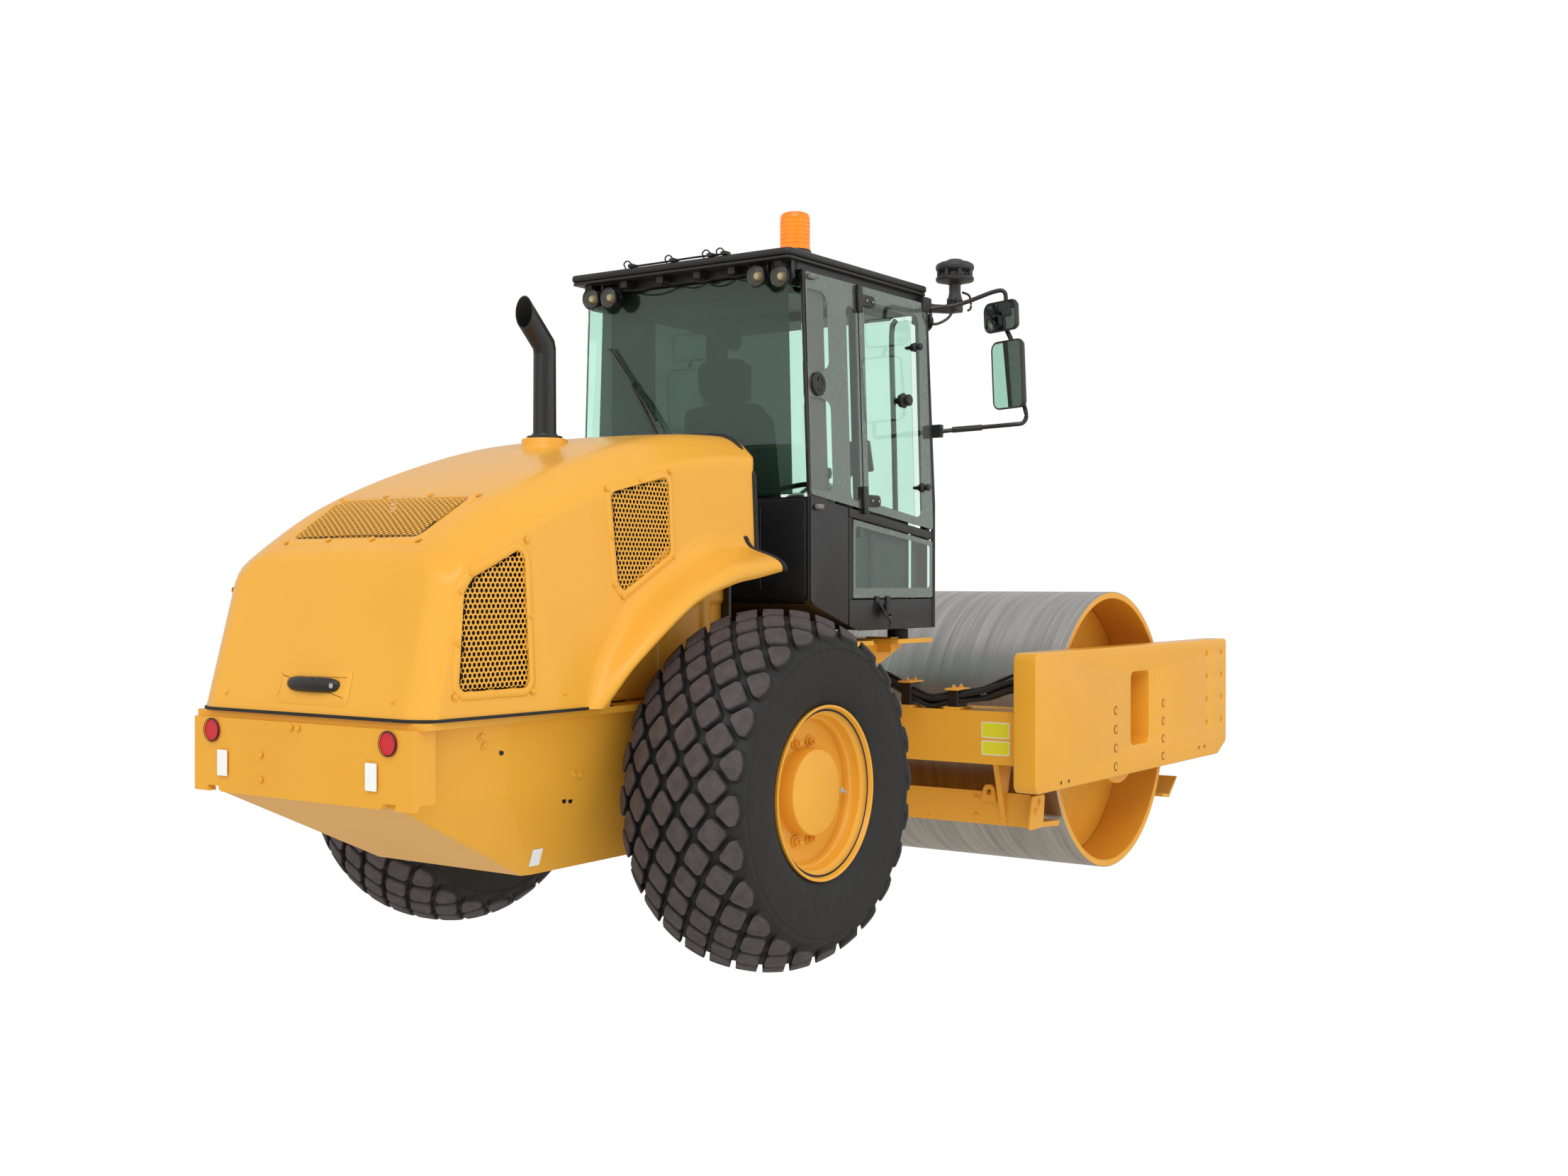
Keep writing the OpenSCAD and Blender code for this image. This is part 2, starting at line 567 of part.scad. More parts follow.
// Door on the left: frame and pane on a rear hinge.
door_z0 = sill_z + 5;
door_z1 = ceiling_z - 50;
hinge_x = 1070;
hinge_y = cab_half + 38;
door_hinges = [1600, 2260, 2850];
module door_outline(inset) polygon([[1100 + inset, door_z0 + inset], [1700 - inset, door_z0 + inset],
    [1700 - inset, door_z1 - inset], [1100 + inset, door_z1 - inset]]);
module door_frame() color(BLACK) on_rear() {
    difference() {
        across(cab_half + 3, cab_half + 30) door_outline(-20);
        across(cab_half + 2, cab_half + 31) door_outline(30);
    }
    for (z = door_hinges) difference() {
        union() {
            translate([hinge_x, hinge_y, z]) cylinder(r = 15, h = 40);
            block([hinge_x, cab_half + 8, z], [hinge_x + 14, hinge_y, z + 40]);
        }
        translate([hinge_x, hinge_y, z - 1]) cylinder(r = 8 + fit_gap, h = 42);
    }
}
// Fixed halves of the hinges: a leaf on the cab's side with the pin.
module hinge_leaves() for (z = door_hinges) {
    block([hinge_x - 50, cab_half_at(z) - 3, z - 22], [hinge_x + 6, hinge_y + 6, z - 2]);
    translate([hinge_x, hinge_y, z - 10]) cylinder(r = 8, h = 50);
}
module door_glass() color(GLASS) on_rear() across(cab_half + 12, cab_half + 20) door_outline(30);

// Drum frame side plate with its slot and bolt holes.
slot_w = 263;
slot_low = 691;
slot_high = 1094;
// Bolt holes: distance ahead of the drum axle, then heights.
plate_bolts = [
    [-336, [897, 796, 695, 595]], [338, [897, 796, 695, 595]],
    [nose_overhang - 333, [1154, 1015, 875, 736]], [nose_overhang - 81, [1154, 1015, 875, 736]]
];
module side_plate() color(YELLOW) on_drum() difference() {
    across(plate_inner, frame_w / 2) difference() {
        polygon([[-plate_rear, plate_bottom], [nose_overhang - 145, plate_bottom - 10],
            [nose_overhang, plate_bottom + 60], [nose_overhang, plate_top], [-plate_rear, plate_top]]);
        translate([-slot_w / 2, slot_low]) offset(r = 40, $fn = 24) offset(delta = -40)
            square([slot_w, slot_high - slot_low]);
    }
    for (v = plate_bolts) for (z = v[1]) translate([v[0], 0, z]) bar_y(14, frame_w / 2 - 40, frame_w / 2 + 1);
}
module side_plate_left() { side_plate(); }
module side_plate_right() { mirror([0, 1, 0]) side_plate(); }
module rear_crossbeam() color(YELLOW) on_drum() difference() {
    block([-beam_rear, -plate_inner, beam_bottom], [beam_depth - beam_rear, plate_inner, beam_top]);
    translate([0, 0, hitch_z]) bar_x(rock_r + fit_gap, -beam_rear - 1, 205 - beam_rear);
}
nose_low = 700;
nose_high = 1185;
module front_crossbeam() color(YELLOW) on_drum()
    block([nose_overhang - 365, -plate_inner, nose_low], [nose_overhang - 45, plate_inner, nose_high]);

// Scrapers: hangers from the crossbeam, a face plate and a lip towards the drum.
scraper_half = drum_w / 2 - 20;
hanger_places = [147 - scraper_half, 0, scraper_half - 147];
module rear_scraper() color(YELLOW) on_drum() {
    across(-scraper_half, scraper_half) polygon([[-1000, 330], [-984, 330], [-650, 300], [-645, 330],
        [-984, 352], [-984, 500], [-1000, 500]]);
    for (y = hanger_places) across(y - 15, y + 15)
        polygon([[-1100, beam_bottom], [-1000, 340], [-984, 352], [-984, 500], [-940, beam_bottom]]);
}
module front_scraper() color(YELLOW) on_drum() {
    across(-scraper_half, scraper_half) polygon([[1020, 400], [1036, 400], [900, 285], [800, 300],
        [800, 320], [895, 305]]);
    for (y = hanger_places) across(y - 15, y + 15)
        polygon([[1016, 396], [1030, 396], [1140, nose_low], [1040, nose_low]]);
}

// Carrier on each side plate's inner face, reaching the drum's journal.
carrier_y = drum_w / 2 - head_depth;
carrier_r = 300;
carrier_t = 25;
hub_r = 230;
module drum_carriers() color(YELLOW) translate([drum_x, 0, drum_r]) both_sides() {
    bar_y(carrier_r, plate_inner - carrier_t, plate_inner);
    bar_y(hub_r, carrier_y + 60, plate_inner - carrier_t + 1);
    bar_y(journal_d / 2, carrier_y - head_t + 4, carrier_y + 61);
}
module drum_shell() color(STEEL) translate([drum_x, 0, drum_r]) rotate([-90, 0, 0])
    translate([0, 0, -drum_w / 2]) difference() {
        cylinder(r = drum_r, h = drum_w, $fn = 96);
        translate([0, 0, -1]) cylinder(r = drum_r - shell_t, h = drum_w + 2, $fn = 96);
    }
module drum_heads() color(YELLOW) translate([drum_x, 0, drum_r]) both_sides() difference() {
    union() {
        bar_y(drum_r - shell_t, carrier_y - head_t, carrier_y, $fn = 96);
        bar_y(journal_d / 2 + 60, carrier_y - 60, carrier_y + 40);
    }
    bar_y(journal_d / 2 + fit_gap, carrier_y - head_t, carrier_y + 41);
}

rear_body();
rear_bumper();
reflectors();
hitch_frame();
rear_axle();
engine_block();
bulkhead();
cab_platform();
cab_mounts();
cab_shell();
cab_roof();
glass_rear();
glass_sides();
glass_front();
driver_seat();
steering_console();
work_lights();
beacon();
receiver_post();
mirrors();
access_steps();
hood_shell();
hood_grilles();
hood_handle();
exhaust_stack();
door_frame();
door_glass();
tyre_left();
tyre_right();
rim_left();
rim_right();
hitch_yoke();
side_plate_left();
side_plate_right();
rear_crossbeam();
front_crossbeam();
rear_scraper();
front_scraper();
drum_carriers();
drum_shell();
drum_heads();
steer_barrel_left();
steer_barrel_right();
steer_rod_left();
steer_rod_right();
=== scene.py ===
"""Looks of a single drum soil compactor, in metres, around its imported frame.

Pieces of the rear frame are written from the wheel axle and pieces of the drum frame
from the drum axle, both set down on the ground: X forward, Y to the left, Z up.
"""
import math

import bmesh
import bpy
import numpy as np
from mathutils import Matrix, Vector
from mathutils.geometry import delaunay_2d_cdt


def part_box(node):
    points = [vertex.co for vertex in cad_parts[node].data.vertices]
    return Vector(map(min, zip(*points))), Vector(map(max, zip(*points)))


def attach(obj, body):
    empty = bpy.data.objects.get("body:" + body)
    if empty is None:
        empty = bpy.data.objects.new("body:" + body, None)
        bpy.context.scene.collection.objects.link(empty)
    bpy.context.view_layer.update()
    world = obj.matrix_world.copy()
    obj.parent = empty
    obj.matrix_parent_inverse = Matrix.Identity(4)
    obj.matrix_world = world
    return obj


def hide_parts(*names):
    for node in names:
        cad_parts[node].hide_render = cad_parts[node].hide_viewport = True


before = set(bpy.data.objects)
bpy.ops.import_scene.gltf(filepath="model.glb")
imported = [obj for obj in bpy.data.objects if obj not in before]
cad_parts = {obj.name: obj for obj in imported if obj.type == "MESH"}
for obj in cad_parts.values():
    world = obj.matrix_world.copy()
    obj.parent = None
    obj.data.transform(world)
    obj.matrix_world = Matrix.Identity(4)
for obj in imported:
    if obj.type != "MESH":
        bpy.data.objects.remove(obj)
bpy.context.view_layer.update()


def middle(node):
    """Middle of a node's box."""
    lo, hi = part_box(node)
    return (lo + hi) / 2


WHEEL_X, WHEEL_Y, WHEEL_Z = middle("rim_left")
DRUM_X, _, DRUM_Z = middle("drum_shell")
REAR = np.array([WHEEL_X, 0, 0])
DRUM = np.array([DRUM_X, 0, 0])
SIDES = (-1, 1)
NAMED_SIDES = ((-1, "right"), (1, "left"))

# Camera: place from the wheel axle, heading from forward towards the left, and lens
CAMERA_AT = (-5.618, -4.8173, 1.591)
CAMERA_YAW = 34.4452
CAMERA_PITCH = -0.2247
CAMERA_ROLL = 0.0231
CAMERA_LENS = 38.17


def make_camera():
    """Camera whose axes come from its heading, pitch and roll."""
    yaw, pitch, roll = (math.radians(a) for a in (CAMERA_YAW, CAMERA_PITCH, CAMERA_ROLL))
    ahead = Vector((math.cos(yaw) * math.cos(pitch), math.sin(yaw) * math.cos(pitch), math.sin(pitch)))
    level = Vector((math.sin(yaw), -math.cos(yaw), 0))
    lift = level.cross(ahead)
    right = level * math.cos(roll) + lift * math.sin(roll)
    up = lift * math.cos(roll) - level * math.sin(roll)
    data = bpy.data.cameras.new("camera")
    data.lens, data.sensor_width, data.clip_end = CAMERA_LENS, 36, 200
    camera = bpy.data.objects.new("camera", data)
    place = Matrix((right, up, -ahead)).transposed().to_4x4()
    place.translation = Vector(CAMERA_AT) + Vector(REAR)
    camera.matrix_world = place
    bpy.context.scene.collection.objects.link(camera)
    bpy.context.scene.camera = camera


# Shapes: each is (points, faces), and faces point outwards


def grid(p, closed=False):
    """Quads over points p[i, j], closed round j where asked."""
    m, n = p.shape[:2]
    i, j = np.arange(m - 1)[:, None], np.arange(n if closed else n - 1)[None, :]
    j2 = (j + 1) % n
    corners = [i * n + j, i * n + j2, (i + 1) * n + j2, (i + 1) * n + j]
    return p.reshape(-1, 3), np.stack(corners, -1).reshape(-1, 4).tolist()


def flip(shape):
    """The same shape with its faces turned round."""
    return shape[0], [f[::-1] for f in shape[1]]


def joined(*shapes):
    """Several shapes as one."""
    points, faces, start = [], [], 0
    for v, f in shapes:
        points.append(np.asarray(v, float).reshape(-1, 3))
        faces += [[i + start for i in face] for face in f]
        start += len(points[-1])
    return np.concatenate(points), faces


def moved(shape, by=(0, 0, 0), turn=None):
    """A shape turned by a 3x3 matrix, then shifted."""
    v = shape[0] if turn is None else shape[0] @ np.asarray(turn).T
    return v + np.asarray(by, float), shape[1]


def mirrored(shape):
    """A shape on the other side of the machine's middle plane."""
    return shape[0] * (1, -1, 1), [f[::-1] for f in shape[1]]


def turning(axis, angle):
    """3x3 matrix that turns by an angle in degrees about an axis."""
    return np.array(Matrix.Rotation(math.radians(angle), 3, axis))


def rounded(outline, radius, steps=4):
    """Outline with each corner replaced by an arc that is tangent to both of its edges."""
    p = np.asarray(outline, float)
    radius = np.broadcast_to(radius, len(p))
    made = []
    for k, r in enumerate(radius):
        a, b, c = p[k - 1], p[k], p[(k + 1) % len(p)]
        u, w = (a - b) / np.linalg.norm(a - b), (c - b) / np.linalg.norm(c - b)
        half = math.acos(np.clip(u @ w, -1, 1)) / 2
        if r <= 0 or half > 1.55:
            made.append(b)
            continue
        cut = min(r / math.tan(half), 0.48 * min(np.linalg.norm(a - b), np.linalg.norm(c - b)))
        r = cut * math.tan(half)
        centre = b + (u + w) / np.linalg.norm(u + w) * (r / math.sin(half))
        t = np.linspace(0, 1, steps + 1)[:, None]
        line = (b + u * cut) * (1 - t) + (b + w * cut) * t - centre
        made += list(centre + line / np.linalg.norm(line, axis=1)[:, None] * r)
    return np.array(made)


def rect(x0, y0, x1, y1, radius=0, steps=4):
    """Rectangle between two corners, rounded where asked."""
    corners = [(x0, y0), (x1, y0), (x1, y1), (x0, y1)]
    return rounded(corners, radius, steps) if np.any(radius) else corners


def offset(outline, d):
    """Outline, anticlockwise, moved inwards by d along the mean of its edges' normals."""
    p = np.asarray(outline, float)
    e = np.roll(p, -1, 0) - p
    e /= np.linalg.norm(e, axis=1)[:, None]
    n = np.stack([-e[:, 1], e[:, 0]], 1)
    m = n + np.roll(n, 1, 0)
    m /= np.maximum((m * m).sum(1), 1e-9)[:, None] / 2
    return p + d * m


def anticlockwise(outline):
    """The outline in anticlockwise order."""
    p = np.asarray(outline, float)
    x, y = p.T
    area = (x * np.roll(y, -1) - np.roll(x, -1) * y).sum()
    return p if area > 0 else p[::-1]


def filled(loops):
    """Triangles between an outer loop and its holes, given as the loops' points."""
    points = [Vector(q) for loop in loops for q in loop]
    edges, start = [], 0
    for loop in loops:
        n = len(loop)
        edges += [(start + k, start + (k + 1) % n) for k in range(n)]
        start += n
    v, _, f, *_ = delaunay_2d_cdt(points, edges, [], 1, 1e-7)
    v = np.array([tuple(q) for q in v])
    centres = np.array([v[list(t)].mean(0) for t in f])
    keep = ~np.any([inside(centres, hole) for hole in loops[1:]], axis=0)
    faces = [list(t) for t, k in zip(f, keep) if k]
    a, b, c = (v[[t[k] for t in faces]] for k in range(3))
    up = (b[:, 0] - a[:, 0]) * (c[:, 1] - a[:, 1]) - (b[:, 1] - a[:, 1]) * (c[:, 0] - a[:, 0])
    return v, [t if s > 0 else t[::-1] for t, s in zip(faces, up)]


def lifted(flat, axis, at):
    """Flat points set at a height along an axis; 1 takes its outline as X and Z."""
    a, b = ((1, 2), (0, 2), (0, 1))[axis]
    p = np.zeros((len(flat), 3))
    p[:, a], p[:, b], p[:, axis] = flat[:, 0], flat[:, 1], at
    return p


def plate(outline, axis, lo, hi, holes=(), chamfer=0.0, steps=1):
    """Plate between two heights along an axis, with holes and edges chamfered or rounded in steps."""
    loops = [anticlockwise(outline)] + [anticlockwise(h)[::-1] for h in holes]
    inner = [offset(q, chamfer) for q in loops]
    turn = np.radians(np.linspace(0, 90, steps + 1)) if chamfer else [math.pi / 2]
    rise = [(chamfer * (1 - math.sin(t)), chamfer * (1 - math.cos(t))) for t in turn]
    shapes = []
    for loop in loops:
        rings = [(offset(loop, d), lo + h) for d, h in rise]
        rings += [(offset(loop, d), hi - h) for d, h in rise[::-1]]
        shapes.append(grid(np.stack([lifted(q, axis, h) for q, h in rings]), closed=True))
    flat, faces = filled(inner) if holes else (inner[0], [list(range(len(inner[0])))])
    shapes.append((lifted(flat, axis, hi), faces))
    shapes.append(flip((lifted(flat, axis, lo), faces)))
    made = joined(*shapes)
    return flip(made) if axis == 1 else made


def box(lo, hi, chamfer=0.002, corner=0.0):
    """Block between two corners, its upright edges rounded and the others chamfered."""
    lo, hi = np.asarray(lo, float), np.asarray(hi, float)
    outline = rect(*lo[:2], *hi[:2], corner or chamfer, 3 if corner else 1)
    return plate(outline, 2, lo[2], hi[2], chamfer=min(chamfer, (hi[2] - lo[2]) * 0.3))


def spin(profile, at, axis, n=48):
    """Profile of radius and height turned about a line through a point."""
    profile = np.asarray(profile, float)
    k = np.asarray(axis, float) / np.linalg.norm(axis)
    side = np.cross(k, (0, 0, 1) if abs(k[2]) < 0.9 else (1, 0, 0))
    side /= np.linalg.norm(side)
    other = np.cross(k, side)
    a = np.linspace(0, 2 * np.pi, n, endpoint=False)[None, :, None]
    r, h = profile[:, 0][:, None, None], profile[:, 1][:, None, None]
    return grid(np.asarray(at) + h * k + r * (np.cos(a) * side + np.sin(a) * other), closed=True)


def rod(a, b, r, n=16, chamfer=0.0):
    """Straight round rod between two points, with flat or chamfered ends."""
    a, b = np.asarray(a, float), np.asarray(b, float)
    length = np.linalg.norm(b - a)
    c = chamfer
    ends = [(0, 0), (r - c, 0), (r, c), (r, length - c), (r - c, length), (0, length)]
    return spin(ends, a, b - a, n)


def smooth_path(points, count):
    """Catmull-Rom curve through the points, at evenly spaced lengths."""
    p = np.asarray(points, float)
    p = np.concatenate([[2 * p[0] - p[1]], p, [2 * p[-1] - p[-2]]])
    t = np.linspace(0, 1, 12, endpoint=False)[:, None]
    rows = []
    for a, b, c, d in zip(p, p[1:], p[2:], p[3:]):
        rows.append(0.5 * (2 * b + (c - a) * t + (2 * a - 5 * b + 4 * c - d) * t**2
                           + (3 * b - a - 3 * c + d) * t**3))
    q = np.concatenate(rows + [p[-2:-1]])
    s = np.concatenate([[0], np.cumsum(np.linalg.norm(np.diff(q, axis=0), axis=1))])
    u = np.linspace(0, s[-1], count)
    return np.stack([np.interp(u, s, q[:, k]) for k in range(q.shape[1])], 1)


def carried(section, path, up=(0, 0, 1)):
    """Closed section carried along a path: its first axis is sideways, its second is up."""
    path = np.asarray(path, float)
    along = np.gradient(path, axis=0)
    along /= np.linalg.norm(along, axis=1)[:, None]
    side = np.cross(along, up)
    side /= np.maximum(np.linalg.norm(side, axis=1), 1e-9)[:, None]
    lift = np.cross(side, along)
    section = np.asarray(section, float)
    p = path[:, None] + section[None, :, :1] * side[:, None] + section[None, :, 1:2] * lift[:, None]
    v, f = grid(p, closed=True)
    n, m = len(section), len(path)
    return v, f + [list(range(n))[::-1], [(m - 1) * n + k for k in range(n)]]


def circle(r, n=12, x=0.0, y=0.0):
    """Points round a circle."""
    a = np.linspace(0, 2 * np.pi, n, endpoint=False)
    return np.stack([x + r * np.cos(a), y + r * np.sin(a)], 1)


def pipe(points, r, count=24, n=10):
    """Round bar of one radius along a smooth curve through the points."""
    return carried(circle(r, n), smooth_path(points, count))


def bolt(at, axis, r=0.012, head=0.55):
    """Hex head on a washer: six-sided, its top edge chamfered."""
    h, base = r * head, r * 0.22
    cap = [(0.95 * r, base), (r, base), (r, base + h * 0.75), (0.82 * r, base + h), (0, base + h)]
    washer = [(r * 1.45, 0), (r * 1.45, base * 0.8), (r * 1.35, base), (0, base)]
    return joined(spin(cap, at, axis, 6), spin(washer, at, axis, 16))


class Piece:
    """Gathers shapes with their materials; build() makes one object that rides on a body."""

    def __init__(self, name, body, *materials):
        self.name, self.body, self.materials = name, body, materials
        self.shapes, self.kinds = [], []

    def add(self, *shapes, kind=0):
        for s in shapes:
            self.shapes.append(s)
            self.kinds += [kind] * len(s[1])
        return self

    def both(self, *shapes, kind=0):
        """The shapes and their mirror images."""
        return self.add(*shapes, *[mirrored(s) for s in shapes], kind=kind)

    def build(self, at=(0, 0, 0), replaces=(), slot=None, sharp=35.0, recalc=True, wall=0.0):
        """Joins the shapes, merges their doubles, sets the piece on its body and hides the nodes it replaces;
        the slot is not used.
        """
        points, faces = joined(*self.shapes)
        mesh = bpy.data.meshes.new(self.name)
        mesh.from_pydata((points + np.asarray(at)).tolist(), [], faces)
        mesh.polygons.foreach_set("material_index", self.kinds)
        for m in self.materials:
            mesh.materials.append(m)
        b = bmesh.new()
        b.from_mesh(mesh)
        bmesh.ops.remove_doubles(b, verts=b.verts, dist=1e-6)
        bmesh.ops.dissolve_degenerate(b, edges=b.edges, dist=1e-7)
        if recalc:
            bmesh.ops.recalc_face_normals(b, faces=b.faces)
        b.to_mesh(mesh)
        b.free()
        mesh.shade_smooth()
        mesh.set_sharp_from_angle(angle=math.radians(sharp))
        piece = bpy.data.objects.new(self.name, mesh)
        bpy.context.scene.collection.objects.link(piece)
        if wall:
            m = piece.modifiers.new("wall", "SOLIDIFY")
            m.thickness, m.offset = wall, -1
        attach(piece, self.body)
        if replaces:
            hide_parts(*replaces)
        return piece


# Materials


def linear(colour):
    """A colour written as 0 to 255 display values, as linear light."""
    c = np.array(colour) / 255.0
    return (*np.where(c <= 0.04045, c / 12.92, ((c + 0.055) / 1.055) ** 2.4), 1.0)


class Nodes:
    """Short calls that make and link the nodes of one tree."""

    def __init__(self, tree):
        self.nodes, self.links = tree.nodes, tree.links

    def node(self, kind, *sources, **settings):
        """A node whose first inputs take numbers, colours or other nodes' outputs."""
        made = self.nodes.new("ShaderNode" + kind)
        for name, value in settings.items():
            setattr(made, name, value)
        for k, source in enumerate(sources):
            self.feed(made.inputs[k], source)
        return made

    def feed(self, socket, source):
        if isinstance(source, (int, float, tuple)):
            socket.default_value = source
        else:
            self.links.new(source, socket)

    def math(self, operation, a, b=0.0):
        return self.node("Math", a, b, operation=operation).outputs[0]

    def mix_shader(self, share, a, b):
        return self.node("MixShader", share, a.outputs[0], b.outputs[0])


class Finish(Nodes):
    """A node material: a Principled shader with short calls for what feeds it."""

    def __init__(self, name, **sockets):
        self.material = bpy.data.materials.new(name)
        self.material.use_nodes = True
        super().__init__(self.material.node_tree)
        self.shader = self.nodes["Principled BSDF"]
        for socket, value in sockets.items():
            self.shader.inputs[socket.replace("_", " ")].default_value = value
        self.place = self.node("TexCoord").outputs["Object"]

    def noise(self, scale, detail=4.0, roughness=0.55, stretch=None, source=None):
        """Noise over the object's own coordinates, stretched along an axis where asked."""
        source = source or self.place
        if stretch:
            mapping = self.node("Mapping", source)
            self.feed(mapping.inputs["Scale"], stretch)
            source = mapping.outputs["Vector"]
        made = self.node("TexNoise", source)
        for socket, value in zip(("Scale", "Detail", "Roughness"), (scale, detail, roughness)):
            self.feed(made.inputs[socket], value)
        return made.outputs["Fac"]

    def ramp(self, source, low, high, a=0.0, b=1.0):
        """Source from low to high becomes a to b."""
        return self.node("MapRange", source, low, high, a, b).outputs["Result"]

    def mix(self, share, a, b):
        made = self.node("Mix", share, data_type="RGBA")
        self.feed(made.inputs[6], a)
        self.feed(made.inputs[7], b)
        return made.outputs[2]

    def axis(self, which):
        """X, Y or Z of the object's own coordinates."""
        return self.node("SeparateXYZ", self.place).outputs[which]

    def from_line(self, x, z):
        """Distances forward and up from a line along Y."""
        return self.math("SUBTRACT", self.axis("X"), x), self.math("SUBTRACT", self.axis("Z"), z)

    def colour(self, source):
        self.feed(self.shader.inputs["Base Color"], source)

    def roughness(self, source):
        self.feed(self.shader.inputs["Roughness"], source)

    def bump(self, source, distance, strength=1.0):
        made = self.node("Bump")
        for socket, value in zip(("Distance", "Strength", "Height"), (distance, strength, source)):
            self.feed(made.inputs[socket], value)
        self.feed(self.shader.inputs["Normal"], made.outputs["Normal"])


def enamel(name, colour, shade, dust, dust_top=0.9):
    """Sprayed enamel: slow drift of tone, orange peel, and dust that thins with height."""
    f = Finish(name, Coat_Weight=0.08, Coat_Roughness=0.08, Specular_IOR_Level=0.28)
    drift = f.ramp(f.noise(1.6, 3), 0.35, 0.65)
    base = f.mix(drift, linear(colour), linear(shade))
    low = f.ramp(f.axis("Z"), 0.25, dust_top, 1.0, 0.0)
    patches = f.ramp(f.noise(9, 8, 0.7), 0.42, 0.72)
    film = f.math("MULTIPLY", f.math("MULTIPLY", low, patches), dust)
    f.colour(f.mix(film, base, linear((150, 118, 78))))
    f.roughness(f.math("ADD", f.ramp(f.noise(14, 3), 0.3, 0.7, 0.27, 0.3), f.math("MULTIPLY", film, 0.5)))
    f.bump(f.noise(260, 2), 0.0001, 0.15)
    return f.material


def moulded(name, colour, roughness, grain=900.0, depth=0.0004):
    """Moulded plastic or powder coat: fine grain, with a slow drift of tone."""
    f = Finish(name)
    tone = f.ramp(f.noise(5, 4), 0.3, 0.7)
    lighter = tuple(min(255, c + 6) for c in colour)
    f.colour(f.mix(tone, linear(colour), linear(lighter)))
    f.roughness(f.ramp(f.noise(30, 5), 0.3, 0.7, roughness - 0.06, roughness + 0.06))
    f.bump(f.noise(grain, 2), depth, 0.3)
    return f.material


def pane(name, tint):
    """Tinted glass, a little uneven."""
    f = Finish(name, Transmission_Weight=1.0, IOR=1.45)
    f.colour(f.mix(f.ramp(f.noise(2, 2), 0.3, 0.7), linear(tint), linear(tuple(c - 6 for c in tint))))
    f.roughness(f.ramp(f.noise(6, 4), 0.3, 0.7, 0.02, 0.04))
    return f.material


# tread: drop of its crown, the half width it is measured at and the power that bends it
CROWN_DROP, CROWN_HALF, CROWN_POWER = 0.106, 0.29, 2.5


def tread_rubber():
    """Rubber that is black in the grooves and dusty brown on the lugs' tops, by its radius."""
    f = Finish("tread rubber", Specular_IOR_Level=0.35)
    x, z = f.from_line(WHEEL_X, WHEEL_Z)
    radius = f.math("SQRT", f.math("ADD", f.math("MULTIPLY", x, x), f.math("MULTIPLY", z, z)))
    off = f.math("ABSOLUTE", f.math("SUBTRACT", f.math("ABSOLUTE", f.axis("Y")), WHEEL_Y))
    drop = f.math("MULTIPLY", f.math("POWER", f.math("DIVIDE", off, CROWN_HALF), CROWN_POWER), CROWN_DROP)
    top = f.ramp(f.math("ADD", radius, drop), WHEEL_Z - 0.012, WHEEL_Z - 0.003)
    worn = f.mix(f.ramp(f.noise(22, 6), 0.35, 0.65), linear((66, 59, 60)), linear((80, 72, 71)))
    f.colour(f.mix(top, linear((30, 29, 29)), worn))
    f.roughness(f.ramp(f.noise(40, 5), 0.3, 0.7, 0.62, 0.78))
    f.bump(f.noise(420, 4), 0.0008, 0.4)
    return f.material


def rolled_steel():
    """Drum steel polished by the ground: long streaks round the drum, with scratches."""
    f = Finish("rolled steel", Metallic=1.0)
    x, z = f.from_line(DRUM_X, DRUM_Z)
    around = f.node("CombineXYZ", f.math("MULTIPLY", f.math("ARCTAN2", z, x), 0.5), f.axis("Y")).outputs[0]
    broad = f.noise(1.0, 5, 0.6, (1.2, 22, 1), around)
    fine = f.noise(1.0, 6, 0.7, (3, 260, 1), around)
    both = f.math("ADD", f.math("MULTIPLY", broad, 0.4), f.math("MULTIPLY", fine, 0.6))
    tone = f.ramp(both, 0.36, 0.62)
    f.colour(f.mix(tone, linear((150, 147, 143)), linear((208, 206, 203))))
    f.roughness(f.ramp(both, 0.35, 0.65, 0.5, 0.3))
    f.bump(fine, 0.0006, 0.5)
    return f.material


YELLOW = enamel("yellow enamel", (236, 172, 60), (233, 168, 56), dust=0.05)
YELLOW_FRAME = enamel("frame enamel", (233, 169, 57), (229, 164, 52), dust=0.08, dust_top=0.8)
BLACK_PAINT = moulded("black powder coat", (40, 40, 41), 0.42)
BLACK_PLASTIC = moulded("black plastic", (26, 26, 27), 0.38, 700, 0.0006)
SATIN_BLACK = moulded("satin black steel", (22, 22, 23), 0.3)
# near black; as the sheet behind the grilles it is painted shade
BLACK_AND_SHADE = moulded("near black and painted shade behind grilles", (16, 15, 14), 0.8, 300)
SIDEWALL = moulded("sidewall rubber", (17, 17, 17), 0.66, 500, 0.0006)
SOFT_RUBBER = moulded("soft rubber", (24, 24, 24), 0.7, 400)
TREAD = tread_rubber()
STEEL = rolled_steel()
BRIGHT = moulded("zinc plate", (168, 168, 164), 0.32)
CHROME = Finish("hard chrome", Metallic=1.0, Roughness=0.12, Base_Color=linear((200, 200, 200))).material
GLASS = pane("green glass", (226, 250, 240))
FRIT = moulded("printed glass border", (140, 113, 121), 0.25, 300, 0.0001)
SCREEN = Finish("sun screen", Alpha=0.78, Roughness=0.7, Base_Color=linear((46, 66, 60))).material
POST_GREY = moulded("grey post", (132, 103, 111), 0.5)
GREY_RUBBER = moulded("grey rubber", (120, 118, 116), 0.6)
WHITE_PLATE = moulded("white plate", (238, 238, 234), 0.4)
LABEL = moulded("yellow green plate", (218, 214, 40), 0.4)
LABEL_EDGE = moulded("pale plate edge", (226, 222, 196), 0.4)
STEEL_PLAIN = moulded("dull steel", (120, 118, 115), 0.45)
SEAT_CLOTH = moulded("seat cloth", (38, 38, 40), 0.85, 900, 0.001)
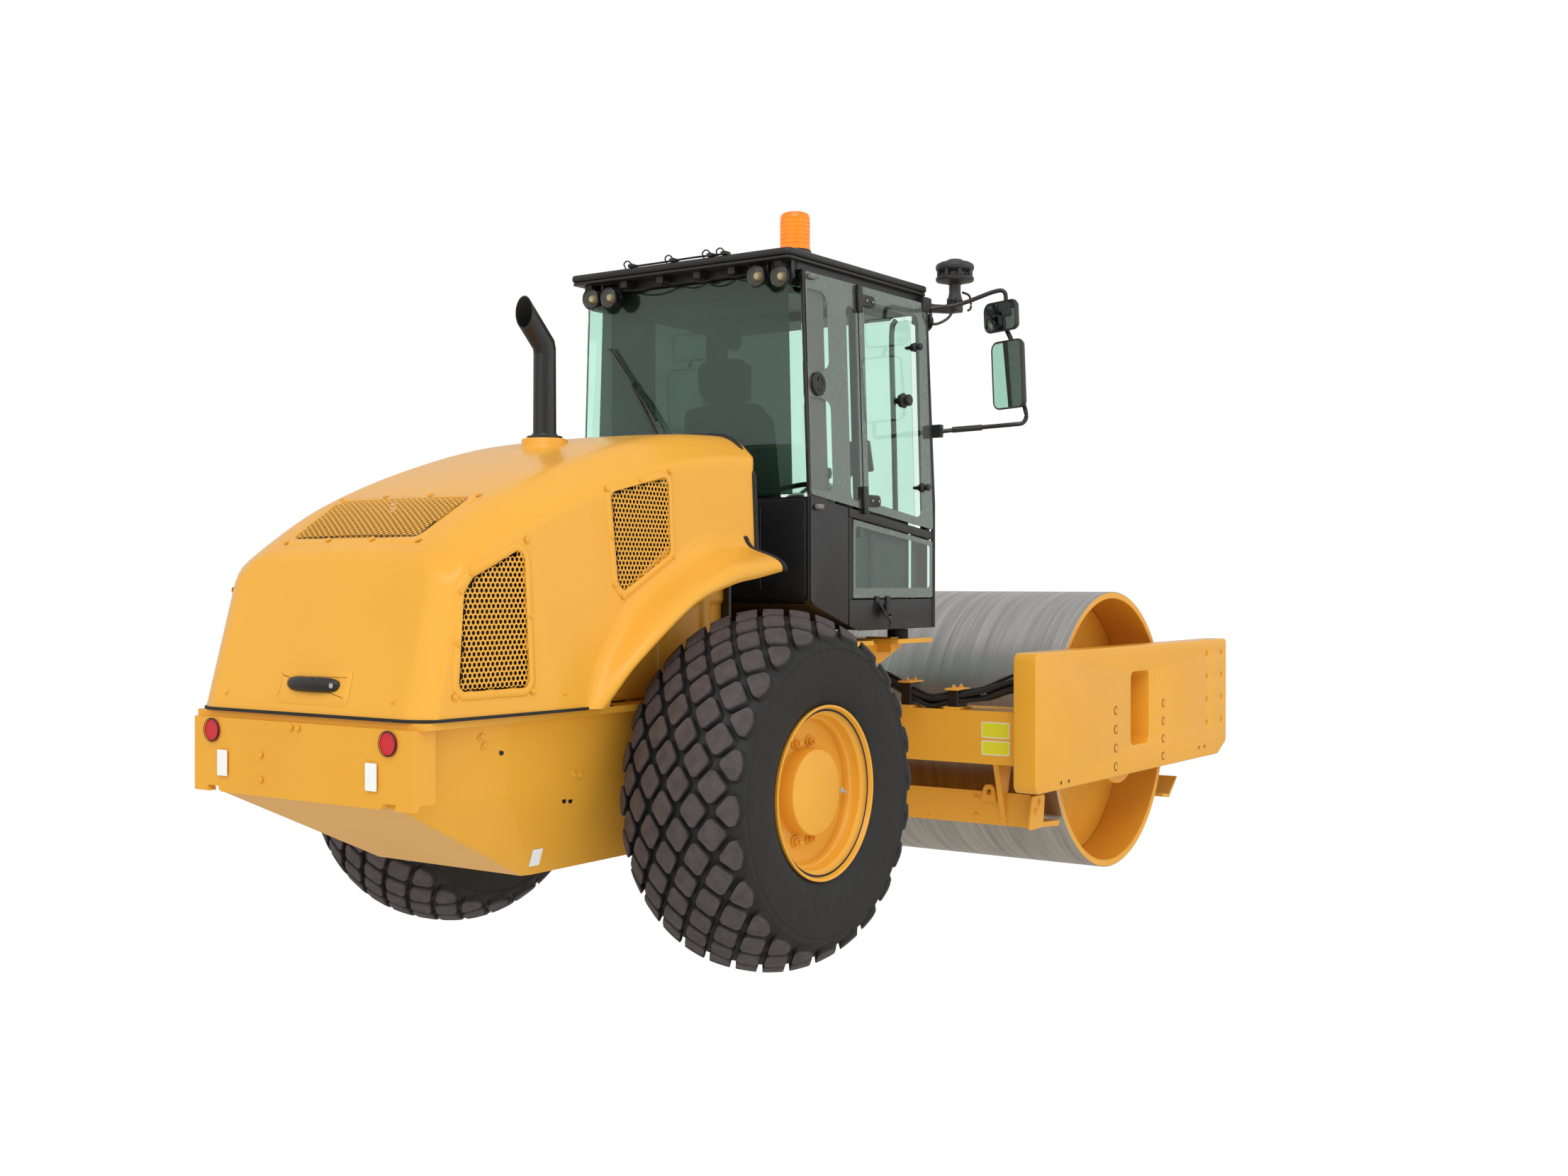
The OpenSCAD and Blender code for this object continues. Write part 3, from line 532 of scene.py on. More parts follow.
AMBER = Finish("amber lens", Transmission_Weight=0.55, Roughness=0.2, Emission_Strength=0.45,
               Emission_Color=linear((255, 124, 8)), Base_Color=linear((250, 136, 18))).material
RED_LENS = Finish("red lens", Roughness=0.2, Base_Color=linear((205, 40, 52))).material
LAMP_CORE = moulded("lamp core", (252, 232, 180), 0.3)
LENS = pane("lamp lens", (236, 240, 240))
MIRROR = Finish("mirror glass", Metallic=1.0, Roughness=0.02, Base_Color=linear((210, 225, 220))).material

# Hood, from the wheel axle

# lower edge, front edge and wall of the hood
HOOD_LOW = 1.108
HOOD_FRONT = 0.273
HOOD_WALL = 0.01
# the hood's rear face: place of its foot, and its lean forward for each metre up
HOOD_REAR, REAR_LEAN = -1.66, 0.2557
# fall of the hood's top at a metre from the middle
TOP_FALL = 0.05
# wheel arch, a little ahead of the axle
ARCH_X, ARCH_R = 0.09, 0.915
# height of the hood's middle line, by distance ahead of the wheel axle
TOP_LINE = [(-1.66, 1.52), (-1.548, 1.645), (-1.47, 1.72), (-1.25, 1.868), (-1.0, 1.982), (-0.7, 2.085),
            (-0.4, 2.167), (-0.13, 2.217), (0.1, 2.237), (0.42, 2.246)]
# height of the crease between the side and the shoulder band
SHOULDER_LINE = [(-1.66, 1.44), (-1.509, 1.575), (-1.437, 1.66), (-1.25, 1.765), (-1.079, 1.839),
                 (-0.7, 1.962), (-0.197, 2.076), (0.1, 2.115), (0.42, 2.135)]


def bend(table):
    """A smooth curve through a table, as a function of its first column."""
    x, z = smooth_path(table, 300).T
    return lambda v: np.interp(v, x, z)


top_line = bend(TOP_LINE)
shoulder_line = bend(SHOULDER_LINE)


def soft_max(a, b, r):
    """The larger of two distances, rounded over a width r where they cross."""
    h = np.maximum(r - np.abs(a - b), 0) / r
    return np.maximum(a, b) + h * h * r / 4


def side_half(x, z):
    """Half width of the hood's side, which leans in upwards and, behind its crease, rearwards."""
    crease = -1.017 - 0.136 * (z - 1.158)
    return 0.655 - 0.0425 * (z - HOOD_LOW) - 0.055 * np.maximum(crease - x, 0)


def hood_distance(p):
    """Rounded common part of rear, corner, side, shoulder and top surfaces; negative inside."""
    x, y, z = p[..., 0], np.abs(p[..., 1]), p[..., 2]
    rear = -(x - HOOD_REAR - REAR_LEAN * (z - HOOD_LOW)) / 1.032
    side = y - side_half(x, z)
    corner = -0.82 * (x - HOOD_REAR) + 0.526 * (y - 0.574) + 0.224 * (z - HOOD_LOW) + 0.015
    edge = side_half(x, shoulder_line(x))
    rise, run = top_line(x) - 0.012 - shoulder_line(x), edge - 0.475
    slope = np.hypot(rise, run)
    shoulder = (rise * (y - edge) + run * (z - shoulder_line(x))) / slope
    top = (z - top_line(x) + TOP_FALL * y * y) * 0.93
    d = soft_max(side, shoulder, 0.016)
    d = soft_max(d, corner, 0.013)
    d = soft_max(d, top, 0.036)
    return soft_max(d, rear, 0.024)


def onto(p, distance, locked):
    """Points walked along the distance's gradient until it is zero; a locked axis stays put."""
    for _ in range(12):
        d = distance(p)
        g = np.stack([(distance(p + step) - d) / 1e-4 for step in np.eye(3) * 1e-4], -1)
        g = np.where(locked, 0, g)
        p = p - (d / np.maximum((g * g).sum(-1), 1e-6))[..., None] * g
    return p


def packed(n, front=0.85):
    """Shares from 0 to 1 that lie closer at the ends."""
    t = np.linspace(0, 1, n)
    a = np.where(t < 0.5, front, 0.85)
    return t - a * np.sin(2 * np.pi * t) / (2 * np.pi)


def patch(south, north, west, east):
    """Surface spanned between four edge curves, each of which runs west to east or south to north."""
    n, m = len(west), len(south)
    v, u = np.linspace(0, 1, n)[:, None, None], np.linspace(0, 1, m)[None, :, None]
    ruled = (1 - v) * south[None] + v * north[None] + (1 - u) * west[:, None] + u * east[:, None]
    corners = ((1 - u) * (1 - v) * south[0] + u * (1 - v) * south[-1]
               + (1 - u) * v * north[0] + u * v * north[-1])
    return ruled - corners


def between(a, b, t):
    """Points on the straight line from a to b."""
    return np.asarray(a) * (1 - t[:, None]) + np.asarray(b) * t[:, None]


def hood_patches():
    """Side, top and rear surfaces that share their edges, all pulled onto the hood's form."""
    s, t, k = packed(150, front=0.0), packed(82), packed(84)
    low_front, low_rear = (HOOD_FRONT, -0.655, HOOD_LOW), (-1.622, -0.598, HOOD_LOW)
    x = HOOD_FRONT + (-1.49 - HOOD_FRONT) * s
    top_edge = np.stack([x, -0.545 + 0.03 * s**6, (shoulder_line(x) + top_line(x)) / 2], 1)
    low_edge = between(low_front, low_rear, s)
    front = between(low_front, top_edge[0], t)
    rear = between(low_rear, top_edge[-1], t)
    side = patch(low_edge, top_edge, front, rear)
    across = between(top_edge[-1], top_edge[-1] * (1, -1, 1), k)
    ridge = between(top_edge[0], top_edge[0] * (1, -1, 1), k)
    top = patch(ridge, across, top_edge, top_edge * (1, -1, 1))
    low = between(low_rear, np.array(low_rear) * (1, -1, 1), k)
    back = patch(low, across, rear, rear * (1, -1, 1))
    made = []
    for p in (side, side * (1, -1, 1), top, back):
        ends = p[..., 0] > HOOD_FRONT - 1e-6
        locked = np.stack([ends, np.zeros_like(ends), p[..., 2] < HOOD_LOW + 1e-6], -1)
        p = onto(p, hood_distance, locked)
        near = np.clip((p[..., 0] + 0.3) / (HOOD_FRONT + 0.3), 0, 1)
        p[..., 0] += 0.05 * near**2 * np.clip((p[..., 2] - 2.1) / 0.12, 0, 1)
        made.append(p)
    return made


def inside(points, outline):
    """Whether each 2-D point lies inside an outline, by counting the edges it passes."""
    x, y = points[..., 0], points[..., 1]
    hit = np.zeros(x.shape, bool)
    for (ax, ay), (bx, by) in zip(outline, np.roll(outline, -1, 0)):
        cross = (ay > y) != (by > y)
        with np.errstate(divide="ignore", invalid="ignore"):
            hit ^= cross & (x < (bx - ax) * (y - ay) / (by - ay) + ax)
    return hit


# outlines of the perforated fields: side ones in X and Z, the top one in X and Y
SIDE_GRILLES = [
    [(-1.504, 1.205), (-1.166, 1.206), (-1.175, 1.718), (-1.424, 1.606), (-1.469, 1.551)],
    [(-0.664, 1.585), (-0.629, 1.551), (-0.327, 1.704), (-0.327, 2.018), (-0.69, 1.935)],
]
TOP_GRILLE = [(-1.425, -0.345), (-1.17, -0.36), (-1.17, 0.36), (-1.425, 0.345)]
# width of the border round a field
GRILLE_MARGIN = 0.028


def without(shape, drop):
    """A shape without the faces whose middles the test picks."""
    v, f = shape
    faces = np.array(f)
    keep = ~drop(v[faces].mean(1))
    return v, faces[keep].tolist()


def hood_holes(c):
    """Middles that fall in a grille's field, in the wheel arch or in the handle's recess."""
    side = np.abs(c[:, 1]) > 0.5
    drop = side & (np.hypot(c[:, 0] - ARCH_X, c[:, 2] - WHEEL_Z) < ARCH_R - 0.005)
    for g in SIDE_GRILLES:
        drop |= side & inside(c[:, [0, 2]], anticlockwise(g))
    drop |= inside(c[:, :2], anticlockwise(TOP_GRILLE)) & (c[:, 2] > 1.7)
    return drop


def hood_skin():
    """The patches with their openings cut out, given a wall."""
    piece = Piece("hood_skin", "hood", YELLOW)
    for p in hood_patches():
        piece.add(without(grid(p), hood_holes))
    piece.build(REAR, replaces=["hood_shell"], slot="machine_yellow", sharp=40, wall=HOOD_WALL)


# wheel arch flare: lower edge of its lip, and the line where it leaves the side, in X and Z
LIP_LINE = [(-0.793, HOOD_LOW), (-0.668, 1.282), (-0.401, 1.483), (-0.131, 1.572), (0.06, 1.603),
            (0.235, 1.632)]
FLARE_LINE = [(-0.85, HOOD_LOW), (-0.735, 1.298), (-0.507, 1.516), (-0.136, 1.69), (0.06, 1.718),
              (0.2, 1.728)]
# flare section: share of the way from the lip to the flare line, share of the way outwards
FLARE_SECTION = [(2.1, -0.06), (1.7, 0.0), (1.35, 0.035), (1.1, 0.13), (0.94, 0.32), (0.8, 0.55),
                 (0.66, 0.76), (0.5, 0.91), (0.33, 0.985), (0.14, 1.0), (0.03, 0.965), (0.0, 0.92),
                 (0.05, 0.86), (0.2, 0.8), (0.28, 0.4), (0.3, -0.25)]
# outer edge of the flare, from the middle plane
FLARE_HALF = 0.8


def flare_surface():
    """The section carried along the arch, between the lip's line and the flare's line."""
    lip, line = smooth_path(LIP_LINE, 72), smooth_path(FLARE_LINE, 72)
    q, w = smooth_path(FLARE_SECTION, 44).T
    flat = lip[:, None] + q[None, :, None] * (line - lip)[:, None]
    flat[..., 1] = np.maximum(flat[..., 1], HOOD_LOW)
    root = side_half(flat[..., 0], flat[..., 1])
    outer = FLARE_HALF - 0.115 * (1 - np.clip((flat[..., 1] - HOOD_LOW) / 0.36, 0, 1)) ** 1.5
    y = root + w * (outer - root)
    return np.stack([flat[..., 0], -y, flat[..., 1]], -1)


def arch_flares():
    """Fenders on both sides; their black rubber edge along the front is added with the hood's trim."""
    p = flare_surface()
    v, f = grid(p)
    n, m = p.shape[1], p.shape[0]
    ends = [list(range(n)), [(m - 1) * n + k for k in range(n)][::-1]]
    Piece("arch_flares", "hood", YELLOW).both((v, f + ends)).build(REAR, slot="machine_yellow", sharp=50)


def arch_liners():
    """Inner wing of each arch: a wall with pressed panels, and the arch's roof above the tyre."""
    piece = Piece("arch_liners", "hood", YELLOW)
    u, v = np.meshgrid(np.linspace(-0.83, HOOD_FRONT, 110), np.linspace(HOOD_LOW, 1.66, 60), indexing="ij")
    y = 0.47 * np.ones_like(u)
    for x0, x1, z0, z1 in ((-0.68, -0.44, 1.14, 1.24), (-0.6, -0.3, 1.28, 1.42), (-0.2, 0.1, 1.2, 1.5),
                           (0.16, 0.34, 1.2, 1.5)):
        d = np.maximum(np.abs(u - (x0 + x1) / 2) - (x1 - x0) / 2, np.abs(v - (z0 + z1) / 2) - (z1 - z0) / 2)
        y -= 0.014 * np.clip(-d / 0.02 + 0.5, 0, 1)
    wall = grid(np.stack([u, -y, v], -1))
    piece.both(without(wall, lambda c: np.hypot(c[:, 0] - ARCH_X, c[:, 2] - WHEEL_Z) > ARCH_R + 0.015))
    a = np.radians(np.linspace(156, 79, 60))[:, None]
    y = -np.linspace(0.47, 0.66, 6)[None, :]
    roof = np.broadcast_arrays(ARCH_X + ARCH_R * np.cos(a), y, WHEEL_Z + ARCH_R * np.sin(a))
    piece.both(grid(np.stack(roof, -1)))
    piece.build(REAR, slot="machine_yellow", wall=0.006)


def hood_half_top(x, y):
    """Height of the hood's top surface over a point."""
    return top_line(x) - TOP_FALL * y * y


def perforated(outline, pitch, hole, place):
    """Hexagonal cells with six-sided holes over an outline, set in space by place(u, v, depth)."""
    outline = anticlockwise(outline)
    lo, hi = outline.min(0), outline.max(0)
    rows = np.arange(lo[1], hi[1] + pitch, pitch * math.sqrt(3) / 2)
    cells = np.array([(lo[0] + pitch * (i + 0.5 * (j % 2)), z) for j, z in enumerate(rows)
                      for i in range(int((hi[0] - lo[0]) / pitch) + 2)])
    cells = cells[inside(cells, offset(outline, pitch * 0.3))]
    a = np.radians(np.arange(0, 360, 30) + 30)
    hexagon = np.where(np.arange(12) % 2 == 0, 1, math.cos(math.pi / 6)) * pitch / math.sqrt(3)
    unit = np.stack([np.cos(a), np.sin(a)], 1)
    rings = [(hexagon, 0), (np.full(12, hole), 0), (np.full(12, hole), 0.003)]
    made = np.stack([cells[:, None] + unit * r[:, None] for r, _ in rings], 1)
    depth = np.array([d for _, d in rings])[None, :, None] * np.ones(made.shape[:3])
    p = place(made[..., 0], made[..., 1], depth)
    ring, n = 3 * 12, 12
    quads = [[j * n + k, j * n + (k + 1) % n, (j + 1) * n + (k + 1) % n, (j + 1) * n + k]
             for j in range(2) for k in range(n)]
    faces = (np.arange(len(cells))[:, None, None] * ring + np.array(quads)[None]).reshape(-1, 4)
    return p.reshape(-1, 3), faces.tolist()


def grille_frame(outline, place):
    """Raised border round a field: a ring with rolled edges, laid on the surface by place()."""
    outline = anticlockwise(outline)
    rings = []
    m = GRILLE_MARGIN
    for grow, lift in ((-0.001, 0.008), (0.0, -0.0005), (0.002, -0.002), (m - 0.004, -0.002),
                       (m + 0.001, 0.001), (m + 0.006, 0.012)):
        loop = rounded(offset(outline, -grow), 0.03 + max(grow, 0))
        rings.append(np.concatenate([loop, np.full((len(loop), 1), lift)], 1))
    rings = np.array(rings)
    return grid(place(rings[..., 0], rings[..., 1], rings[..., 2]), closed=True)


def on_side(side):
    """Places (x, z, depth) on one side of the hood, depth measured inwards."""

    def place(x, z, d):
        lo, hi = 0 * x + 0.3, 0 * x + 0.75
        for _ in range(24):
            middle_y = (lo + hi) / 2
            out = hood_distance(np.stack([x, middle_y, z], -1)) > 0
            lo, hi = np.where(out, lo, middle_y), np.where(out, middle_y, hi)
        return np.stack([x, side * (lo + 0.004 - d), z], -1)

    return place


def on_top(x, y, d):
    """Places (x, y, depth) on the hood's top."""
    return np.stack([x, y, hood_half_top(x, y) + 0.004 - d], -1)


def hood_grilles():
    """Perforated screens in the sides and the top, each behind a bolted border, with a near-black sheet
    behind that paints the shade seen through the holes.
    """
    frames = Piece("grille_borders", "hood", YELLOW)
    screens = Piece("grille_screens", "hood", YELLOW, BLACK_AND_SHADE)
    fields = [(g, on_side(s), 0.0215, 0.0084, (0, s, 0)) for g in SIDE_GRILLES for s in SIDES]
    fields.append((TOP_GRILLE, on_top, 0.0175, 0.0074, (-0.55, 0, 0.83)))
    for outline, place, pitch, hole, out in fields:
        frames.add(grille_frame(outline, place))
        screens.add(perforated(outline, pitch, hole, place))
        border = offset(anticlockwise(outline), -GRILLE_MARGIN * 0.55)
        steps = np.linalg.norm(np.roll(border, -1, 0) - border, axis=1)
        for a, b, length in zip(border, np.roll(border, -1, 0), steps):
            for t in np.linspace(0, 1, max(2, round(length / 0.24) + 1))[:-1]:
                q = a + (b - a) * t
                frames.add(bolt(place(q[0], q[1], -0.001), out, 0.0085))
        # a near-black sheet behind each field: painted shade seen through its holes
        flat = offset(anticlockwise(outline), -0.004)
        screens.add((place(flat[:, 0], flat[:, 1], np.full(len(flat), 0.05)), [list(range(len(flat)))]),
                    kind=1)
    frames.build(REAR, slot="machine_yellow", sharp=40, recalc=False)
    screens.build(REAR, replaces=["hood_grilles"], slot="black_mesh", recalc=False)


def hood_handle():
    """Latch handle: a bar with rounded ends that swells in the middle, in a pressed dish."""
    piece = Piece("hood_latch", "hood", BLACK_PLASTIC, YELLOW, BRIGHT)
    y0, y1, z = -0.172, 0.108, 1.22
    k = np.linspace(0, 1, 40)
    half = 0.027 * (1 - np.abs(2 * k - 1) ** 5) ** 0.5 + 0.001
    a = np.linspace(0, 2 * np.pi, 20, endpoint=False)
    out = 0.017 * np.sin(np.pi * k) ** 0.4 + 0.004
    x = -1.648 - out[:, None] * (1 + np.cos(a))[None]
    p = np.stack([x + 0.02, (y0 + (y1 - y0) * k)[:, None] + 0 * a, z + half[:, None] * np.sin(a)[None]], -1)
    piece.add(grid(p, closed=True))
    piece.add(box((-1.664, y0 + 0.118, z - 0.024), (-1.6605, y0 + 0.122, z + 0.026), 0.0005))
    piece.add(spin(rect(0, 0, 0.009, 0.004), (-1.6585, y0 + 0.02, z), (-1, 0, 0), 16), kind=2)
    lean = turning("Y", math.degrees(math.atan(REAR_LEAN)))
    dish = rect(-0.19, -0.055, 0.19, 0.055, 0.016, 4)
    rings = []
    for grow, depth in ((0.012, 0.001), (0.004, 0.0015), (-0.004, 0.004), (-0.02, 0.004)):
        loop = offset(dish, -grow)
        rings.append(np.stack([depth + 0 * loop[:, 0], loop[:, 0], loop[:, 1]], 1))
    v, f = grid(np.array(rings), closed=True)
    n = len(dish)
    f.append([3 * n + k for k in range(n)])
    rim = moved((v * (-1, 1, 1), f), turn=lean)
    foot = HOOD_REAR + REAR_LEAN * (z - 0.008 - HOOD_LOW)
    piece.add(moved(rim, (foot, (y0 + y1) / 2 + 0.01, z - 0.008)), kind=1)
    piece.build(REAR, replaces=["hood_handle"], slot="black_plastic", sharp=40)


def exhaust_wall(line, radius, cut_x):
    """Rings round the pipe's line; the last one is drawn along the bend to an upright cut."""
    facing = np.array([(0, 0, 1), (-0.38, 0, 0.92), (-0.55, 0, 0.83), (-0.7071, 0, 0.7071)])
    side, along = np.array([0, 1, 0]), facing[-1]
    a = np.linspace(0, 2 * np.pi, 40, endpoint=False)[:, None]
    rings = [centre + radius * (np.cos(a) * side + np.sin(a) * np.cross(n, side))
             for centre, n in zip(line, facing)]
    rings[-1] = rings[-1] + ((cut_x - rings[-1][:, 0]) / along[0])[:, None] * along
    return np.array(rings)


def exhaust():
    """Boss and collar on the hood, and a pipe that bends rearwards and ends in an upright cut."""
    piece = Piece("exhaust_pipe", "hood", SATIN_BLACK, BLACK_AND_SHADE, YELLOW)
    at = np.array([-0.4, -0.013, 2.192])
    boss = [(0.12, -0.06), (0.104, -0.045), (0.098, -0.03), (0.097, -0.008), (0.094, -0.002), (0.088, 0.0),
            (0.0, 0.0)]
    piece.add(spin(boss, at, (0, 0, 1), 64), kind=2)
    collar = [(0.0, 0.0), (0.073, 0.0), (0.075, 0.002), (0.075, 0.009), (0.073, 0.011), (0.056, 0.012),
              (0.054, 0.02), (0.0, 0.02)]
    piece.add(spin(collar, at, (0, 0, 1), 48))
    bend_z = 2.585
    line = np.array([(at[0], at[1], 2.2), (at[0], at[1], bend_z - 0.022),
                     (at[0] - 0.006, at[1], bend_z + 0.004), (at[0] - 0.3, at[1], bend_z + 0.3)])
    outer, inner = (exhaust_wall(line, r, at[0] - 0.125) for r in (0.049, 0.049 - 0.005))
    piece.add(grid(outer, closed=True))
    piece.add(flip(grid(inner, closed=True)), kind=1)
    piece.add(grid(np.array([outer[-1], inner[-1]]), closed=True))
    piece.build(REAR, replaces=["exhaust_stack"], slot="black_paint", sharp=40, recalc=False)


def hood_trim():
    """Small screws at the hood's lower corners, the black rubber edge along its front, and a black strip
    round its lower edge that paints the shade of the gap over the tub.
    """
    piece = Piece("hood_trim", "hood", YELLOW, SOFT_RUBBER)
    piece.both(bolt((-1.642, 0.452, 1.175), (-1, 0, 0.25), 0.009))
    piece.both(bolt((-0.985, 0.652, 1.178), (0, 1, 0), 0.009))
    y = np.concatenate([np.full(14, -1.0), np.linspace(-1, 1, 60)[1:-1], np.full(14, 1.0)])
    up = np.concatenate([np.linspace(1.62, 2.05, 14), np.full(58, 2.25), np.linspace(2.05, 1.62, 14)])
    p = onto(np.stack([np.full(len(y), HOOD_FRONT - 0.002), y * 0.6, up], 1)[None], hood_distance,
             np.array([True, False, False]))[0]
    piece.add(carried(circle(0.009, 8), p + (0.004, 0, 0), up=(1, 0, 0)), kind=1)
    lip = flare_surface()[-1]
    flange = np.stack([lip, lip + (0.012, -0.006, 0.006), lip + (0.03, -0.004, 0.0)])
    piece.both(grid(flange[:, 6:40]), kind=1)
    # black strip round the hood's lower edge: painted shade of the gap between hood and tub
    half = [(x, -0.655) for x in np.linspace(-0.86, -1.58, 30)] + [(-1.61, -0.61), (-1.64, -0.59)]
    half += [(-1.665, y) for y in np.linspace(-0.565, 0, 24)]
    seam = np.array(half + [(x, -y) for x, y in half[-2::-1]])
    seam = onto(np.column_stack([seam, np.full(len(seam), HOOD_LOW + 0.003)])[None], hood_distance,
                np.array([False, False, True]))[0]
    piece.add(carried(rect(-0.003, -0.0028, 0.003, 0.0028), seam), kind=1)
    piece.build(REAR, slot="rubber", recalc=False, wall=0.004)


# Wheels

# lugs: height, count round the tyre and step across it, and half width of the tread
LUG_HEIGHT = 0.03
LUG_ROWS = 24
LUG_STEP = 0.0655
TREAD_HALF = 0.284


def crown(y):
    """Tread radius at a distance from the tyre's middle plane."""
    return WHEEL_Z - CROWN_DROP * np.abs(y / CROWN_HALF) ** CROWN_POWER


def tread_lugs():
    """Rounded diamonds in a staggered lattice, each a stack of rings that follow the crown."""
    pitch = 2 * math.pi / LUG_ROWS
    diamond = rounded([(-1, 0), (0, -1), (1, 0), (0, 1)], 0.3, 3)
    rings = [(1.09, -LUG_HEIGHT - 0.004), (1.0, -0.003), (0.965, 0.0), (0.55, 0.0), (0.02, 0.0)]
    columns = np.arange(-4, 5)
    rows = np.arange(LUG_ROWS)
    col, row = (a.ravel() for a in np.meshgrid(columns, rows, indexing="ij"))
    y0 = col * LUG_STEP
    a0 = (row + 0.5 * (col % 2)) * pitch
    p = []
    for scale, lift in rings:
        y = y0[:, None] + scale * diamond[None, :, 0] * LUG_STEP * 0.78
        y = np.clip(y, -TREAD_HALF, TREAD_HALF) * (1 + (0.02 if lift < -0.01 else 0))
        a = a0[:, None] + scale * diamond[None, :, 1] * pitch * 0.39
        r = crown(y) + lift
        p.append(np.stack([r * np.cos(a), y, r * np.sin(a)], -1))
    p = np.stack(p, 1)
    n, m = len(diamond), len(rings)
    quads = np.array([[j * n + k, j * n + (k + 1) % n, (j + 1) * n + (k + 1) % n, (j + 1) * n + k]
                      for j in range(m - 1) for k in range(n)])
    faces = (np.arange(len(y0))[:, None, None] * n * m + quads[None]).reshape(-1, 4)
    return p.reshape(-1, 3), faces.tolist()


def tyre_carcass():
    """Beads, bulged sidewalls with a thin moulded ring, shoulders and the floor of the tread."""
    floor = [(crown(y) - LUG_HEIGHT, y) for y in np.linspace(TREAD_HALF - 0.002, 0, 12)]
    half = [(0.329, 0.25), (0.356, 0.2515), (0.372, 0.262), (0.40, 0.275), (0.45, 0.2845), (0.5, 0.2885),
            (0.55, 0.2895), (0.573, 0.289), (0.576, 0.2865), (0.583, 0.2865), (0.586, 0.2885), (0.6, 0.288),
            (0.6045, 0.2865), (0.606, 0.2845)] + floor
    profile = half + [(r, -y) for r, y in half[-2::-1]]
    return spin(profile, (0, 0, 0), (0, 1, 0), 144)


def tyres():
    """Tread and carcass of each wheel."""
    for side, name in NAMED_SIDES:
        at = (WHEEL_X, side * WHEEL_Y, WHEEL_Z)
        body = "wheel_" + name
        Piece("tread_" + name, body, TREAD).add(tread_lugs()).build(at, slot="tyre_rubber")
        Piece("carcass_" + name, body, SIDEWALL).add(tyre_carcass()).build(
            at, replaces=["tyre_" + name], slot="tyre_rubber", sharp=30)


# rim: radius and distance outwards from the tyre's middle plane
RIM_DISH = [(0.355, 0.2585), (0.3545, 0.2665), (0.3495, 0.268), (0.344, 0.2655), (0.341, 0.2585),
            (0.336, 0.2445), (0.329, 0.2365), (0.319, 0.2315), (0.313, 0.2235), (0.311, 0.1965),
            (0.306, 0.1865), (0.298, 0.1825), (0.294, 0.1755), (0.292, 0.1505), (0.286, 0.1445),
            (0.27, 0.1425), (0.19, 0.1405), (0.182, 0.1425), (0.178, 0.1485), (0.1765, 0.1585),
            (0.1755, 0.2085), (0.172, 0.215), (0.166, 0.2175), (0.0, 0.218)]


def rims():
    """Dished rims with stepped gutters, a hub drum, wheel studs and a valve."""
    for side, name in NAMED_SIDES:
        piece = Piece("wheel_disc_" + name, "wheel_" + name, YELLOW_FRAME, BRIGHT)
        axis = (0, side, 0)
        back = [(0.3, -0.26), (0.352, -0.264), (0.354, -0.268), (0.3545, -0.258), (0.336, -0.246),
                (0.328, 0.22), (0.3525, 0.25)]
        piece.add(spin(back + RIM_DISH, (0, 0, 0), axis, 128))
        piece.add(spin([(0.3, -0.26), (0.286, -0.22), (0.28, 0.11), (0.2, 0.12), (0.12, 0.11), (0.12, 0.02),
                        (0.07, 0.02)], (0, 0, 0), axis, 96))
        for z in (-1, 1):
            for x in (-0.053, 0.053):
                stud = np.array([x, side * 0.1425, z * 0.2])
                piece.add(bolt(stud, axis, 0.0175, head=1.0))
                piece.add(rod(stud, stud + (0, side * 0.034, 0), 0.009, 12, 0.0015))
        piece.add(rod((0.247, side * 0.142, -0.02), (0.247, side * 0.18, -0.02), 0.012, 14, 0.002), kind=1)
        piece.add(rod((0.247, side * 0.17, -0.02), (0.262, side * 0.195, -0.03), 0.0045, 10), kind=1)
        piece.build((WHEEL_X, side * WHEEL_Y, WHEEL_Z), replaces=["rim_" + name], slot="machine_yellow",
                    sharp=28)


# Cab, from the wheel axle

# rear and front of the cab, height of its waist, underside of its roof and top of its glass
CAB_REAR, CAB_FRONT, WAIST_Z = 0.624, 1.76, 1.985
CEILING = 3.012
GLASS_TOP = 2.998


def cab_half(z):
    """Half width of the cab: upright below the waist, leaning in above it."""
    return 0.673 - 0.04 * np.maximum(z - WAIST_Z, 0) / (CEILING - WAIST_Z)


def pane_half(z):
    """Half width at the flat of the side glass, a straight line over the cab's bend."""
    return 0.6735 - 0.0405 * (z - 1.85) / (CEILING - 1.85)


def belt(x):
    """Lower edge of the upper side glass."""
    return 1.981 - 0.1187 * (x - 0.625)


def sided(shape, side, half=cab_half):
    """A shape written as distance outwards from the cab's wall, set on one side."""
    v = shape[0].copy()
    v[:, 1] = side * (v[:, 1] + half(v[:, 2]))
    return v, shape[1]


def glass_outline(x0, x1):
    """Upper side glass between two places: its lower edge follows the belt."""
    low_edge = [(x0, belt(x0) + 0.004), (x1, belt(x1) + 0.004)]
    return rounded(low_edge + [(x1, GLASS_TOP), (x0, GLASS_TOP)], 0.012, 3)


